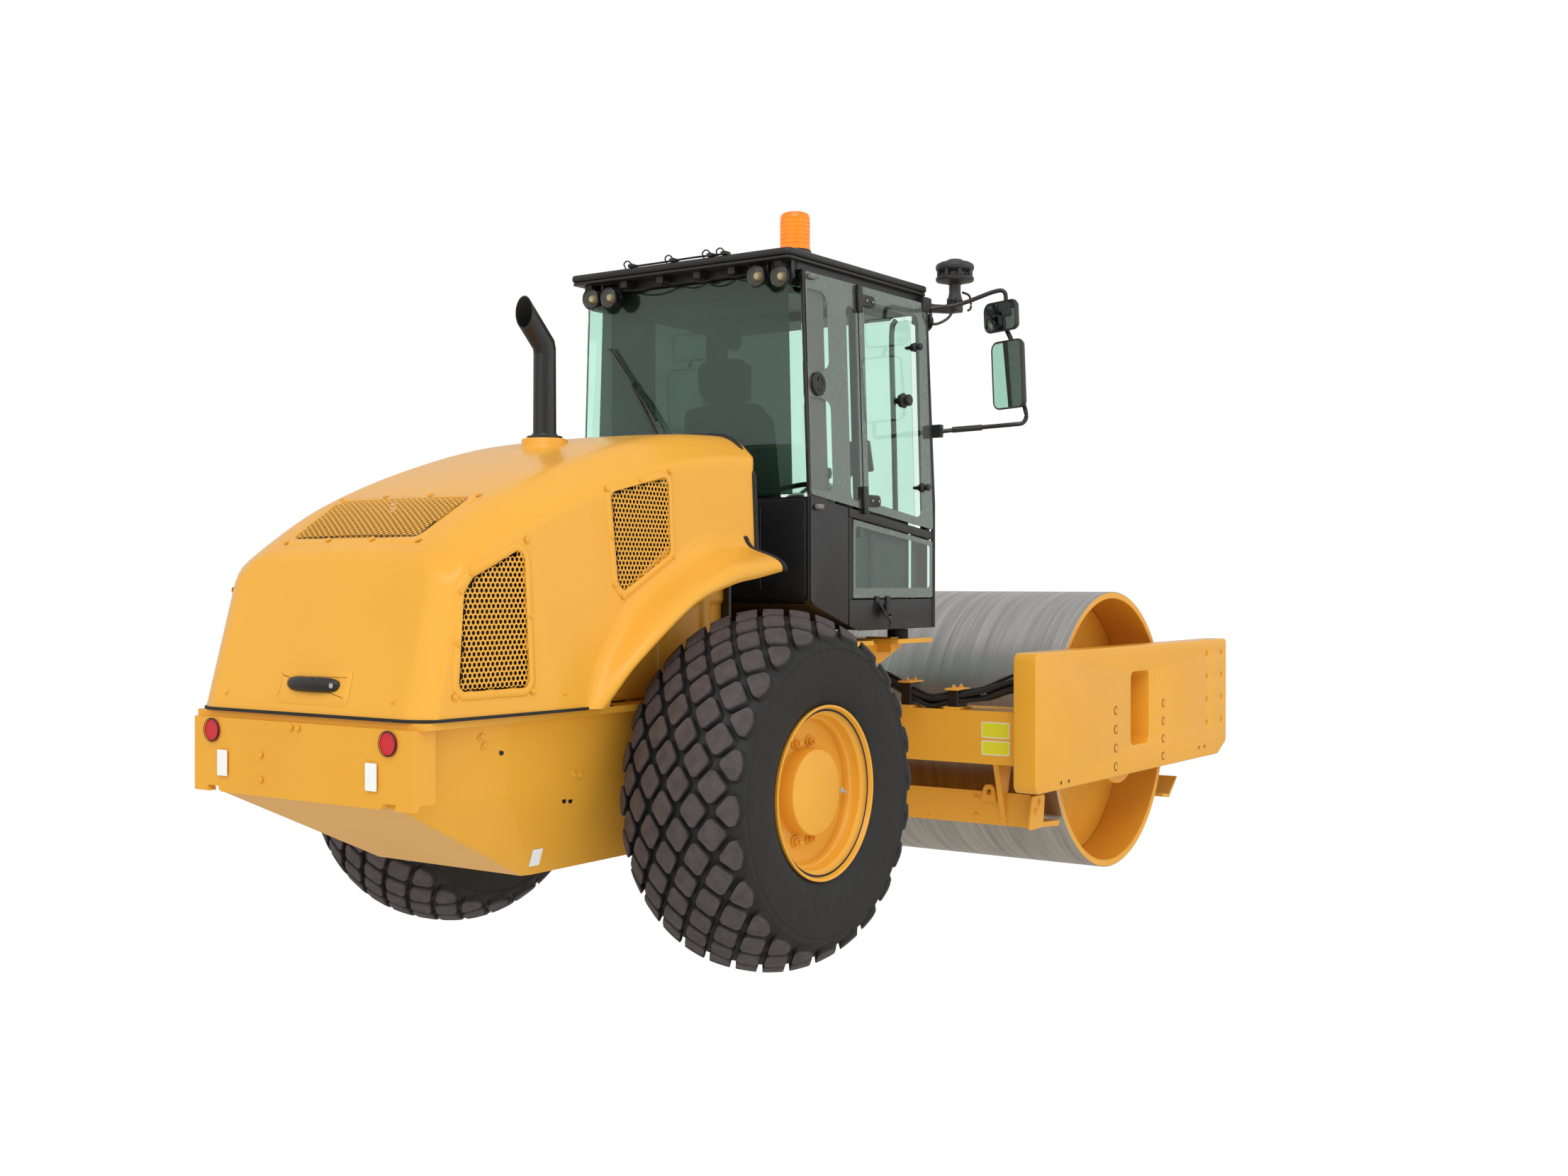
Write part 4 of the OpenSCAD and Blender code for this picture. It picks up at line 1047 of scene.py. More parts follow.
def side_glass(glass, frit):
    """Quarter and front glass; borders of the right side have windows, the left is clear by its door."""
    slots = [rounded([(0.646, 2.55), (0.74, 2.55), (0.815, 2.58), (0.815, 2.92), (0.646, 2.92)],
                     (0.01, 0.03, 0.04, 0.06, 0.01), 5),
             rounded([(0.646, 2.015), (0.82, 2.0), (0.82, 2.41), (0.74, 2.43), (0.646, 2.43)],
                     (0.01, 0.05, 0.04, 0.03, 0.01), 5),
             rounded([(0.975, 1.975), (1.06, 1.965), (1.06, 2.87), (0.975, 2.9)], 0.035, 5)]
    view = rounded([(1.135, belt(1.135) + 0.05), (1.635, belt(1.635) + 0.045), (1.66, 2.93), (1.135, 2.93)],
                   0.05, 5)
    clear = rounded([(0.642, 2.0), (1.06, 1.965), (1.06, 2.96), (0.642, 2.96)], 0.01, 3)
    quarter, front = glass_outline(0.632, 1.078), glass_outline(1.084, 1.744)
    for side, outline, holes in ((-1, quarter, slots), (-1, front, [view]), (1, quarter, [clear])):
        glass.add(sided(plate(outline, 1, 0.0055, 0.0105, chamfer=0.0012), side, pane_half))
        frit.add(sided(plate(offset(outline, 0.001), 1, 0.0045, 0.005, holes), side, pane_half))
    low = rounded([(0.985, 1.512), (1.752, 1.512), (1.752, 1.793), (0.985, 1.884)], 0.006, 3)
    low_view = rounded([(1.012, 1.56), (1.715, 1.56), (1.715, 1.772), (1.012, 1.853)], 0.02, 4)
    glass.add(sided(plate(low, 1, 0.003, 0.008, chamfer=0.0012), -1))
    frit.add(sided(plate(offset(low, 0.001), 1, 0.002, 0.0025, [low_view]), -1))


def cab_panes():
    """Glass with polished edges over printed borders, sun screens and the panels behind the low pane."""
    glass = Piece("cab_panes", "rear_frame", GLASS)
    frit = Piece("pane_borders", "rear_frame", FRIT, SCREEN, BLACK_PLASTIC, POST_GREY)
    side_glass(glass, frit)
    for x, lo, hi, bottom, inset in ((CAB_REAR, -0.0075, -0.002, WAIST_Z + 0.002, 0.006),
                                     (CAB_FRONT - 0.0385, 0.0, 0.005, 1.562, 0.078)):
        foot, head, top = cab_half(bottom) - inset, cab_half(GLASS_TOP) - inset, GLASS_TOP - inset
        outline = [(-foot, bottom), (foot, bottom), (head, top), (-head, top)]
        glass.add(plate(rounded(outline, 0.012, 3), 0, x + lo, x + hi, chamfer=0.0012))
    screens = [([(-0.565, 1.99), (0.6, 1.99), (0.565, 2.985), (-0.54, 2.985)], 0, 0.652, 0.6525),
               (rect(0.76, 2.0, 1.1, 2.98), 1, 0.595, 0.6)]
    black = [([(0.96, 1.42), (1.635, 1.42), (1.635, 1.9), (0.96, 1.97)], 1, -0.6, -0.595),
             (rect(-0.55, 1.45, 0.5, 1.93), 0, 1.69, 1.695)]
    grey = [([(1.668, 1.42), (1.75, 1.42), (1.75, 1.86), (1.668, 1.87)], 1, -0.6, -0.595),
            (rect(-0.645, 1.5, -0.6, 1.84), 0, 1.74, 1.745)]
    for kind, sheets in ((1, screens), (2, black), (3, grey)):
        frit.add(*[plate(*sheet) for sheet in sheets], kind=kind)
    glass.build(REAR, replaces=["glass_rear", "glass_sides", "glass_front"], slot="tinted_glass", sharp=25)
    frit.build(REAR, slot="black_paint", sharp=25)


def cab_frame():
    """Walls, floor, flat posts behind the glass and rails under the roof."""
    piece = Piece("cab_frame", "rear_frame", BLACK_PLASTIC, POST_GREY)
    low = [(0.632, 1.51), (0.66, 1.487), (0.95, 1.39), (1.04, 1.362), (1.75, 1.362)]
    rear_top = (0.632, belt(0.632) - 0.006)
    right = low + [(1.75, 1.5), (0.99, 1.5), (0.99, 1.9), (1.75, 1.81), (1.75, belt(1.75) - 0.008), rear_top]
    left = low + [(1.75, 1.44), (1.08, 1.44), (1.08, belt(1.08) - 0.006), rear_top]
    piece.add(sided(plate(right, 1, -0.045, -0.001, chamfer=0.002), -1))
    piece.add(sided(plate(left, 1, -0.045, -0.001, chamfer=0.002), 1))
    floor = [(0.66, 1.49), (0.95, 1.39), (1.04, 1.362), (1.745, 1.362), (1.745, 1.42), (0.66, 1.54)]
    piece.add(plate(floor, 1, -0.66, 0.66))
    back = [(-0.67, 1.5), (0.67, 1.5), (0.668, 1.975), (-0.668, 1.975)]
    piece.add(plate(back, 0, 0.626, 0.67, chamfer=0.002))
    piece.add(plate(rect(-0.67, 1.362, 0.67, 1.555), 0, 1.705, 1.755, chamfer=0.002))
    piece.add(sided(plate(rect(0.655, 1.9, 0.8, 2.96, 0.01, 2), 1, -0.03, -0.008, chamfer=0.002), -1), kind=1)
    for x0, x1 in ((1.064, 1.1), (1.7, 1.735)):
        piece.both(sided(plate(rect(x0, 1.8, x1, 2.98, 0.006, 2), 1, -0.04, -0.004, chamfer=0.002), 1))
    piece.both(sided(plate(rect(0.64, 2.93, 1.735, 3.0), 1, -0.05, -0.004, chamfer=0.002), 1))
    for x in (0.655, 1.69):
        piece.add(box((x, -0.6, 2.94), (x + 0.035, 0.6, 3.0), 0.003))
    piece.build(REAR, replaces=["cab_shell"], slot="black_paint")


def cab_panels():
    """Wall panels with fine gaps, ribs on the back, and sealing strips and caps at the corners."""
    piece = Piece("cab_panels", "rear_frame", BLACK_PLASTIC, SATIN_BLACK, GREY_RUBBER)
    belt_front, belt_seam = (1.752, belt(1.752) - 0.006), (0.957, belt(0.957) - 0.006)
    rear = [(0.632, 1.505), (0.66, 1.482), (0.95, 1.385), (0.95, belt(0.95) - 0.006),
            (0.632, belt(0.632) - 0.004)]
    lower = [(0.957, 1.383), (1.04, 1.359), (1.752, 1.359), (1.752, 1.505), (0.957, 1.505)]
    upper = [(0.957, 1.893), (1.752, 1.8), belt_front, belt_seam]
    piece.both(sided(plate(rounded(rear, 0.012, 3), 1, 0.0, 0.005, chamfer=0.003, steps=3), 1))
    for outline, radius in ((lower, 0.01), (upper, 0.006)):
        piece.add(sided(plate(rounded(outline, radius, 3), 1, 0.0, 0.006, chamfer=0.003, steps=3), -1))
    piece.add(sided(plate(rect(0.957, 1.505, 0.982, 1.893, 0.004, 2), 1, 0.0, 0.004, chamfer=0.002), -1))
    piece.add(plate(rect(-0.655, 1.51, 0.655, 1.965, 0.02), 0, CAB_REAR - 0.006, CAB_REAR + 0.001,
                    chamfer=0.003, steps=3))
    for y in (-0.4, 0.0, 0.4):
        piece.add(box((CAB_REAR - 0.01, y - 0.012, 1.55), (CAB_REAR - 0.005, y + 0.012, 1.93), 0.002))
    seal = np.array([(CAB_REAR + 0.002, -cab_half(z) - 0.001, z) for z in (1.985, 2.3, 2.65, 3.005)])
    piece.add(carried(rect(-0.006, -0.006, 0.006, 0.006, 0.003, 2), seal, up=(1, 0, 0)))
    seal = np.array([(CAB_FRONT - 0.004 - 0.012 * t, cab_half(z) + 0.002, z)
                     for t, z in ((0, 1.36), (0, 1.985), (0.5, 2.5), (1, 3.005))])
    piece.both(carried(circle(0.011, 10), seal, up=(1, 0, 0)))
    for z in (2.976, 1.93):
        y = cab_half(z) + 0.02
        piece.both(rod((0.655, y, z), (0.705, y, z), 0.0125, 18, 0.004), kind=2)
        piece.both(rod((0.71, y - 0.02, z), (0.71, y + 0.004, z), 0.009, 12), kind=1)
    piece.build(REAR, slot="black_paint")


def roof():
    """Soft-edged roof shell on a drip tray, with tabs, sagging wires below and clipped cables above."""
    piece = Piece("roof_shell", "rear_frame", BLACK_PLASTIC, SATIN_BLACK)
    outline = rect(0.5, -0.651, 1.75, 0.651, 0.03, 5)
    piece.add(plate(outline, 2, 3.052, 3.085, chamfer=0.012, steps=4))
    piece.add(plate(offset(outline, 0.006), 2, 3.036, 3.05, chamfer=0.004, steps=2))
    piece.add(plate(rect(0.6, -0.62, 1.74, 0.62, 0.03), 2, CEILING - 0.012, 3.04, chamfer=0.003))
    for y in (-0.56, -0.3, -0.1, 0.12, 0.34, 0.56):
        piece.add(box((0.535, y - 0.02, 3.0), (0.6, y + 0.02, 3.038), 0.003))
        piece.add(bolt((0.568, y, 3.001), (0, 0, -1), 0.007), kind=1)
    k = np.linspace(0, 1, 7)
    for y0, y1, drop in ((-0.22, -0.05, 0.028), (-0.05, 0.1, 0.02), (0.1, 0.4, 0.03), (-0.44, -0.22, 0.024)):
        wire = np.stack([0.545 + 0 * k, y0 + (y1 - y0) * k, CEILING - drop * 4 * k * (1 - k)], 1)
        piece.add(pipe(wire, 0.004, 20, 6), kind=1)
    for y in (-0.2, -0.28, 0.02, 0.27):
        piece.add(box((0.5, y - 0.016, 3.086), (0.545, y + 0.016, 3.104), 0.004))
        loop = [(0.52, y, 3.1), (0.5, y + 0.012, 3.118), (0.505, y + 0.04, 3.108), (0.53, y + 0.05, 3.09)]
        piece.add(pipe(loop, 0.0035, 12, 6))
    cable = [(0.53, -0.28, 3.095), (0.535, -0.1, 3.1), (0.53, 0.1, 3.096), (0.54, 0.27, 3.098)]
    piece.add(pipe(cable, 0.005, 24, 6))
    piece.build(REAR, replaces=["cab_roof"], slot="black_paint")


def on_pane(x, z, out):
    """A point that stands out from the right side's glass."""
    return np.array([x, -(pane_half(z) + out), z])


def hinges(piece):
    """Hinge plates and arms of the right window, each with two capped bolts."""
    for z in (2.93, 1.975):
        leaf = rect(1.062, z - 0.065, 1.1, z + 0.065, 0.006, 3)
        arm = rect(1.09, z - 0.028, 1.225, z + 0.028, (0.004, 0.024, 0.024, 0.004), 5)
        for outline, lo, hi in ((leaf, 0.009, 0.028), (arm, 0.01, 0.02)):
            piece.add(sided(plate(outline, 1, lo, hi, chamfer=0.003, steps=2), -1, pane_half))
        for x in (1.145, 1.2):
            at = on_pane(x, z, 0.019)
            piece.add(spin([(0.0, 0.004), (0.011, 0.004), (0.013, 0.0)], at, (0, -1, 0), 20), kind=1)
            piece.add(spin([(0.0, 0.006), (0.005, 0.006), (0.006, 0.004)], at, (0, -1, 0), 6), kind=2)


def knobs(piece):
    """Knobs through the glass and the round lock; outer ones lean with the pane."""
    knob = [(1.05, 0.0), (1.05, 0.006), (0.75, 0.01), (0.62, 0.014), (0.62, 0.022), (0.8, 0.028),
            (0.78, 0.038), (0.6, 0.043), (0.0, 0.044)]
    stalk = [(0.9, 0.0), (0.9, 0.012), (0.5, 0.016), (0.3, 0.05), (0.0, 0.05)]
    for x, z, r in ((1.607, 2.761, 0.022), (1.646, 2.061, 0.022), (1.48, 2.483, 0.036)):
        piece.add(spin(np.multiply(knob, (r, 1)), on_pane(x, z, 0.01), (0, -1, 0.03), 28), kind=1)
        piece.add(spin(np.multiply(stalk, (r, 1)), on_pane(x, z, 0.004), (0, 1, 0), 20), kind=1)
    at = on_pane(0.71, 2.49, 0.0105)
    lock = [(0.055, 0.0), (0.055, 0.008), (0.05, 0.013), (0.034, 0.013), (0.032, 0.009), (0.0, 0.009)]
    piece.add(spin(lock, at, (0, -1, 0.03), 36), kind=1)
    for z in (-0.022, 0.022):
        piece.add(spin([(0.009, 0.009), (0.009, 0.012), (0.0, 0.013)], at + (0, 0, z), (0, -1, 0.03), 14))


def low_latch(piece):
    """Handle under the low pane: two clips, a bent bar and its lever."""
    for x in (1.2, 1.3):
        piece.add(box((x - 0.018, -0.688, 1.48), (x + 0.018, -0.672, 1.522), 0.003))
    bar = [(1.2, -0.695, 1.49), (1.205, -0.712, 1.455), (1.235, -0.716, 1.42), (1.28, -0.712, 1.43),
           (1.3, -0.7, 1.485)]
    lever = [(1.215, -0.7, 1.46), (1.23, -0.718, 1.425), (1.262, -0.722, 1.395), (1.245, -0.724, 1.378)]
    piece.add(pipe(bar, 0.008, 28, 8), pipe(lever, 0.006, 20, 8))
    piece.add(box((1.225, -0.722, 1.43), (1.275, -0.7, 1.485), 0.005))


def wiper(piece):
    """Blade with its back, two arms and the spindle, on the rear glass."""
    x = CAB_REAR - 0.0135
    blade = np.array([(x - 0.012, 0.475, 2.725), (x - 0.008, 0.335, 2.545), (x - 0.008, 0.19, 2.36)])
    section = [(-0.004, -0.009), (0.004, -0.009), (0.003, 0.009), (-0.003, 0.009)]
    piece.add(carried(section, smooth_path(blade, 20), up=(1, 0, 0)))
    piece.add(pipe(blade + (-0.01, 0, 0), 0.006, 20, 6))
    arm = [(x - 0.022, 0.335, 2.545), (x - 0.03, 0.25, 2.42), (x - 0.026, 0.08, 2.15), (x - 0.01, 0.06, 2.11)]
    guide = [(x - 0.022, 0.295, 2.5), (x - 0.03, 0.215, 2.4), (x - 0.02, 0.03, 2.13)]
    piece.add(pipe(arm, 0.008, 24, 8), pipe(guide, 0.005, 24, 6))
    piece.add(rod((x + 0.02, 0.05, 2.1), (x - 0.04, 0.05, 2.1), 0.022, 20, 0.004))
    cap = [(0.007, -0.02), (0.01, 0.0), (0.0, 0.01)]
    piece.add(spin(cap, blade[1] + (-0.012, 0, 0), (-1, 0, 0), 12), kind=1)


def cab_fittings():
    """Hinges, knobs, latch and wiper on the glass."""
    piece = Piece("cab_fittings", "rear_frame", SATIN_BLACK, BLACK_PLASTIC, BRIGHT)
    for fit in (hinges, knobs, low_latch, wiper):
        fit(piece)
    piece.build(REAR, slot="black_paint")


# work lights: place, and the way they face, -1 rearwards
LAMPS = [(0.53, 0.54, 2.964, -1), (0.53, 0.428, 2.961, -1), (0.53, -0.445, 2.975, -1),
         (0.53, -0.575, 2.961, -1), (1.8, 0.6, 2.912, 1), (1.8, -0.6, 2.912, 1)]


def lamp_shell():
    """Profile of a lamp's housing: a cap, four cooling fins and a rolled rim."""
    fins = [(r, -0.048 + 0.01 * k + up) for k in range(4)
            for r, up in ((0.041, 0), (0.041, 0.004), (0.035, 0.006), (0.035, 0.008))]
    return [(0.0, -0.062), (0.022, -0.062), (0.024, -0.055), (0.036, -0.05), *fins,
            (0.05, -0.006), (0.051, 0.004), (0.047, 0.008), (0.044, 0.004)]


def lamp_bracket(piece, back):
    """Fork on both sides of a lamp, hung from the roof by a stud."""
    for side in SIDES:
        piece.add(box(back + (-0.012, side * 0.052 - 0.003, -0.012),
                      back + (0.012, side * 0.052 + 0.003, 0.068), 0.001))
        piece.add(bolt(back + (0, side * 0.055, 0), (0, side, 0), 0.008))
    piece.add(box(back + (-0.014, -0.056, 0.062), back + (0.014, 0.056, 0.07), 0.002))
    piece.add(rod(back + (0, 0, 0.066), (back[0], back[1], 3.04), 0.011, 12))


def lamps():
    """Round work lights: finned shell, bright reflector and core, domed lens and a forked bracket."""
    piece = Piece("lamp_shells", "rear_frame", SATIN_BLACK, STEEL_PLAIN, LAMP_CORE)
    lens = Piece("lamp_lenses", "rear_frame", LENS)
    reflector = [(0.044, 0.004), (0.036, -0.012), (0.022, -0.03), (0.009, -0.038), (0.0, -0.038)]
    core = [(0.018, -0.034), (0.017, -0.014), (0.012, -0.006), (0.0, -0.004)]
    dome = [(0.0435, 0.002), (0.036, 0.006), (0.02, 0.009), (0.0, 0.01)]
    for x, y, z, way in LAMPS:
        aim = np.array([way, 0.0, -0.16])
        aim /= np.linalg.norm(aim)
        at = np.array([x, y, z])
        for kind, (profile, n) in enumerate(((lamp_shell(), 40), (reflector, 32), (core, 20))):
            piece.add(spin(profile, at, aim, n), kind=kind)
        lens.add(spin(dome, at, aim, 32))
        lamp_bracket(piece, at - aim * 0.03)
    piece.build(REAR, replaces=["work_lights"], slot="black_plastic")
    lens.build(REAR, slot="tinted_glass", sharp=40, recalc=False)


def beacon():
    """Flashing beacon: black foot and an amber dome with moulded rings, by the roof's edge."""
    at = np.array([0.84, -0.45, 3.085])
    foot = Piece("beacon_foot", "rear_frame", BLACK_PLASTIC)
    foot.add(spin([(0.052, 0.0), (0.052, 0.014), (0.075, 0.02), (0.077, 0.028), (0.077, 0.05),
                   (0.073, 0.056), (0.0, 0.056)], at, (0, 0, 1), 48))
    dome = [(0.069, 0.056), (0.0705, 0.062)]
    for k in range(7):
        z = 0.066 + 0.019 * k
        dome += [(0.0705, z), (0.0705, z + 0.013), (0.0685, z + 0.016), (0.0685, z + 0.0175)]
    dome += [(0.07, 0.2), (0.0685, 0.214), (0.062, 0.225), (0.048, 0.2315), (0.02, 0.234), (0.0, 0.234)]
    Piece("beacon_dome", "rear_frame", AMBER).add(spin(dome, at, (0, 0, 1), 56)).build(
        REAR, replaces=["beacon"], slot="amber_lens", sharp=30)
    foot.build(REAR, slot="black_plastic")


def receiver():
    """Positioning receiver on a bracket at the roof's front corner, with its latch and cable."""
    piece = Piece("receiver_head", "rear_frame", BLACK_PAINT, SATIN_BLACK)
    at = np.array([1.938, -0.7, 3.026])
    profile = [(0.035, 0.0), (0.04, 0.01), (0.034, 0.03), (0.03, 0.05), (0.03, 0.09), (0.05, 0.1),
               (0.094, 0.108), (0.098, 0.114), (0.098, 0.126), (0.09, 0.132), (0.07, 0.136), (0.07, 0.15),
               (0.08, 0.156), (0.096, 0.166), (0.0985, 0.175), (0.0985, 0.186), (0.094, 0.194),
               (0.078, 0.204), (0.045, 0.2105), (0.04, 0.218), (0.03, 0.221), (0.0, 0.222)]
    piece.add(spin(profile, at, (0, 0, 1), 56))
    for a in np.radians(np.arange(0, 360, 45)):
        c, n = math.cos(a), math.sin(a)
        piece.add(box(at + (0.085 * c - 0.008, 0.085 * n - 0.008, 0.128),
                      at + (0.085 * c + 0.008, 0.085 * n + 0.008, 0.168), 0.002))
    piece.add(box(at + (-0.035, -0.03, -0.05), at + (0.035, 0.03, 0.02), 0.004))
    piece.add(carried(rect(-0.02, -0.02, 0.02, 0.02, 0.004, 2),
                      [(1.72, -0.6, 2.99), (1.82, -0.64, 2.985), (1.93, -0.69, 2.99)]))
    piece.add(box((1.7, -0.655, 2.955), (1.78, -0.56, 3.03), 0.006))
    piece.add(pipe([(1.91, -0.72, 3.03), (1.87, -0.735, 2.99), (1.84, -0.71, 2.93), (1.79, -0.66, 2.9),
                    (1.765, -0.64, 2.94)], 0.007, 28, 8), kind=1)
    piece.add(pipe([(1.96, -0.73, 3.08), (1.985, -0.76, 3.06), (1.99, -0.765, 3.0), (1.975, -0.755, 2.985)],
                   0.006, 16, 8), kind=1)
    piece.build(REAR, replaces=["receiver_post"], slot="black_plastic")


# turn of the mirror heads about an upright line, in degrees
MIRROR_TURN = -21


def mirror_head(y0, y1, z0, z1):
    """Mirror housing with a bulged back and a rolled rim round its glass, facing rearwards."""
    outline = rect(y0, z0, y1, z1, (0.03, 0.04, 0.045, 0.03), 6)
    middle_y, middle_z = (y0 + y1) / 2, (z0 + z1) / 2
    rings = []
    for grow, depth in ((-0.007, -0.002), (-0.003, -0.006), (0.0, -0.005), (0.002, 0.004), (0.0, 0.016),
                        (-0.012, 0.034), (-0.04, 0.046), (-0.075, 0.05)):
        loop = offset(outline, -grow)
        rings.append(np.stack([np.full(len(loop), depth), loop[:, 0] - middle_y, loop[:, 1] - middle_z], 1))
    n = len(outline)
    v, f = grid(np.array(rings), closed=True)
    shell = (v, f + [[len(rings) * n - n + k for k in range(n)]])
    face = (rings[0], [list(range(n))[::-1]])
    matrix = turning("Z", MIRROR_TURN) @ turning("Y", -3)
    place = (1.9, middle_y, middle_z)
    return moved(shell, place, matrix), moved(face, place, matrix)


def mirrors():
    """Two mirrors on each side, on bent tubes from the roof and from the cab's front corner."""
    for side, name in NAMED_SIDES:
        piece = Piece("mirror_set_" + name, "rear_frame", SATIN_BLACK, MIRROR, BLACK_PLASTIC)
        shapes = []
        for corners in ((-1.094, -0.862, 2.85, 3.0), (-1.129, -0.91, 2.46, 2.8)):
            shell, face = mirror_head(*corners)
            shapes += [(shell, 2), (face, 1)]
        tubes = [([(1.76, -0.63, 2.975), (1.85, -0.78, 3.0), (1.91, -0.94, 3.055), (1.925, -0.99, 3.05),
                   (1.925, -1.0, 2.99)], 0.011),
                 ([(1.93, -1.0, 2.86), (1.93, -1.02, 2.82), (1.93, -1.035, 2.79)], 0.012),
                 ([(1.93, -1.09, 2.5), (1.93, -1.11, 2.42), (1.92, -1.095, 2.385), (1.9, -1.06, 2.378),
                   (1.84, -0.85, 2.365), (1.77, -0.7, 2.35)], 0.011)]
        shapes += [(pipe(points, r, 40, 10), 0) for points, r in tubes]
        shapes.append((rod((1.86, -0.9, 2.368), (1.8, -0.76, 2.358), 0.015, 14, 0.003), 0))
        shapes.append((box((1.755, -0.72, 2.32), (1.785, -0.655, 2.385), 0.004), 0))
        for shape, kind in shapes:
            piece.add(shape if side < 0 else mirrored(shape), kind=kind)
        piece.build(REAR, replaces=["mirrors"] if side < 0 else (), slot="black_plastic")


def cushion(lo, hi, bulge, lean=0.0):
    """Pad between two corners: a rounded block whose faces swell by a bulge, leaned about Y."""
    lo, hi = np.asarray(lo, float), np.asarray(hi, float)
    a = np.linspace(-1, 1, 18)
    size, soft = (hi - lo) / 2, 0.035
    made = []
    for axis in range(3):
        for way in SIDES:
            u, w = np.meshgrid(a, a, indexing="ij")
            p = np.zeros(u.shape + (3,))
            p[..., axis], p[..., (axis + 1) % 3], p[..., (axis + 2) % 3] = way, u, w
            core = np.clip(p * size, -(size - soft), size - soft)
            out = p * size - core
            length = np.maximum(np.linalg.norm(out, axis=-1, keepdims=True), 1e-9)
            q = core + out / length * soft
            q[..., axis] += way * bulge * (1 - u**2) * (1 - w**2)
            shape = grid(q)
            made.append(shape if way > 0 else flip(shape))
    return moved(joined(*made), (lo + hi) / 2, turning("Y", lean))


# floor under the seat and the column
SEAT_Z = 1.44


def seat():
    """Bellows on a plinth, padded cushions with bolsters, headrest, armrests and a lever."""
    z = SEAT_Z
    base = Piece("seat_base", "rear_frame", BLACK_PLASTIC, SATIN_BLACK)
    base.add(box((1.02, -0.2, z), (1.29, 0.2, z + 0.1), 0.006, 0.02))
    for k in range(5):
        fold = z + 0.1 + 0.03 * k
        base.add(box((1.03, -0.185, fold), (1.28, 0.185, fold + 0.022), 0.008, 0.03))
    base.add(box((0.96, -0.22, z + 0.25), (1.36, 0.22, z + 0.29), 0.006, 0.03))
    base.both(box((1.0, 0.265, z + 0.52), (1.38, 0.335, z + 0.56), 0.012, 0.02))
    arm = [(0.97, 0.27, z + 0.35), (1.0, 0.3, z + 0.45), (1.04, 0.3, z + 0.53)]
    base.both(pipe(arm, 0.015, 14, 8), kind=1)
    base.add(rod((1.33, -0.3, z + 0.56), (1.34, -0.3, z + 0.68), 0.014, 12, 0.003), kind=1)
    knob = [(0.0, 0.0), (0.022, 0.005), (0.028, 0.03), (0.022, 0.055), (0.0, 0.062)]
    base.add(spin(knob, (1.34, -0.3, z + 0.66), (0, 0, 1), 20))
    base.both(rod((0.895, 0.07, z + 0.98), (0.885, 0.07, z + 1.1), 0.007, 10), kind=1)
    pads = Piece("seat_pads", "rear_frame", SEAT_CLOTH)
    pads.add(cushion((0.97, -0.22, z + 0.29), (1.4, 0.22, z + 0.4), 0.02))
    pads.add(cushion((0.88, -0.22, z + 0.4), (0.99, 0.22, z + 1.0), 0.02, -9))
    pads.both(cushion((0.98, 0.175, z + 0.32), (1.38, 0.255, z + 0.43), 0.008))
    pads.both(cushion((0.9, 0.175, z + 0.45), (1.02, 0.245, z + 0.95), 0.008, -9))
    pads.add(cushion((0.84, -0.13, z + 1.05), (0.93, 0.13, z + 1.22), 0.012, -7))
    pads.build(REAR, replaces=["driver_seat"], slot="seat_vinyl", sharp=60)
    base.build(REAR, slot="black_plastic")


def steering_wheel(piece, hub, tilt, radius):
    """Rim, three spokes, a hub and its shaft, round a tilted axis."""
    rim = circle(0.014, 10, radius)
    piece.add(spin([*rim, rim[0]], hub, tilt, 40))
    across = np.cross(tilt, (0, 1, 0))
    for t in np.radians((30, 150, 270)):
        end = hub + (radius - 0.005) * (math.cos(t) * np.array([0, 1, 0]) + math.sin(t) * across)
        piece.add(rod(hub - tilt * 0.02, end, 0.01, 10), kind=1)
    piece.add(spin([(0.05, -0.03), (0.05, -0.01), (0.035, 0.0), (0.0, 0.002)], hub, tilt, 24))
    piece.add(rod(hub - tilt * 0.1, hub, 0.025, 16))


def console():
    """Column with a three-spoked wheel, a screen on an arm, a side desk, grab rails and roof linings."""
    z = SEAT_Z
    piece = Piece("console_parts", "rear_frame", BLACK_PLASTIC, SATIN_BLACK)
    column = [(1.52, z), (1.66, z), (1.62, z + 0.3), (1.56, z + 0.56), (1.5, z + 0.56), (1.5, z + 0.3)]
    piece.add(plate(rounded(column, 0.02, 4), 1, -0.08, 0.08, chamfer=0.01, steps=2))
    steering_wheel(piece, np.array([1.5, 0, z + 0.6]), np.array([-0.34, 0, 0.94]), 0.19)
    screen = box((-0.01, -0.11, -0.07), (0.015, 0.11, 0.09), 0.006)
    piece.add(moved(screen, (1.62, -0.28, z + 0.78), turning("Y", -15)))
    piece.add(rod((1.62, -0.28, z + 0.72), (1.6, -0.1, z + 0.5), 0.012, 10), kind=1)
    piece.add(box((1.25, -0.62, z), (1.6, -0.42, z + 0.42), 0.02, 0.03))
    rail = [(1.6, 0.585, 1.62), (1.58, 0.565, 1.7), (1.575, 0.55, 2.3), (1.56, 0.545, 2.82),
            (1.575, 0.56, 2.9)]
    piece.both(pipe(rail, 0.014, 40, 10), kind=1)
    for lo, hi, chamfer in (((1.3, -0.55, 2.9), (1.6, 0.55, 2.975), 0.02),
                            ((0.75, -0.5, 2.93), (1.25, 0.5, 2.985), 0.02),
                            ((1.55, 0.35, 2.55), (1.62, 0.5, 2.75), 0.01)):
        piece.add(box(lo, hi, chamfer))
    piece.build(REAR, replaces=["steering_console"], slot="black_plastic")


# outer face of the door, from the wall of the cab
DOOR_DEPTH = 0.034


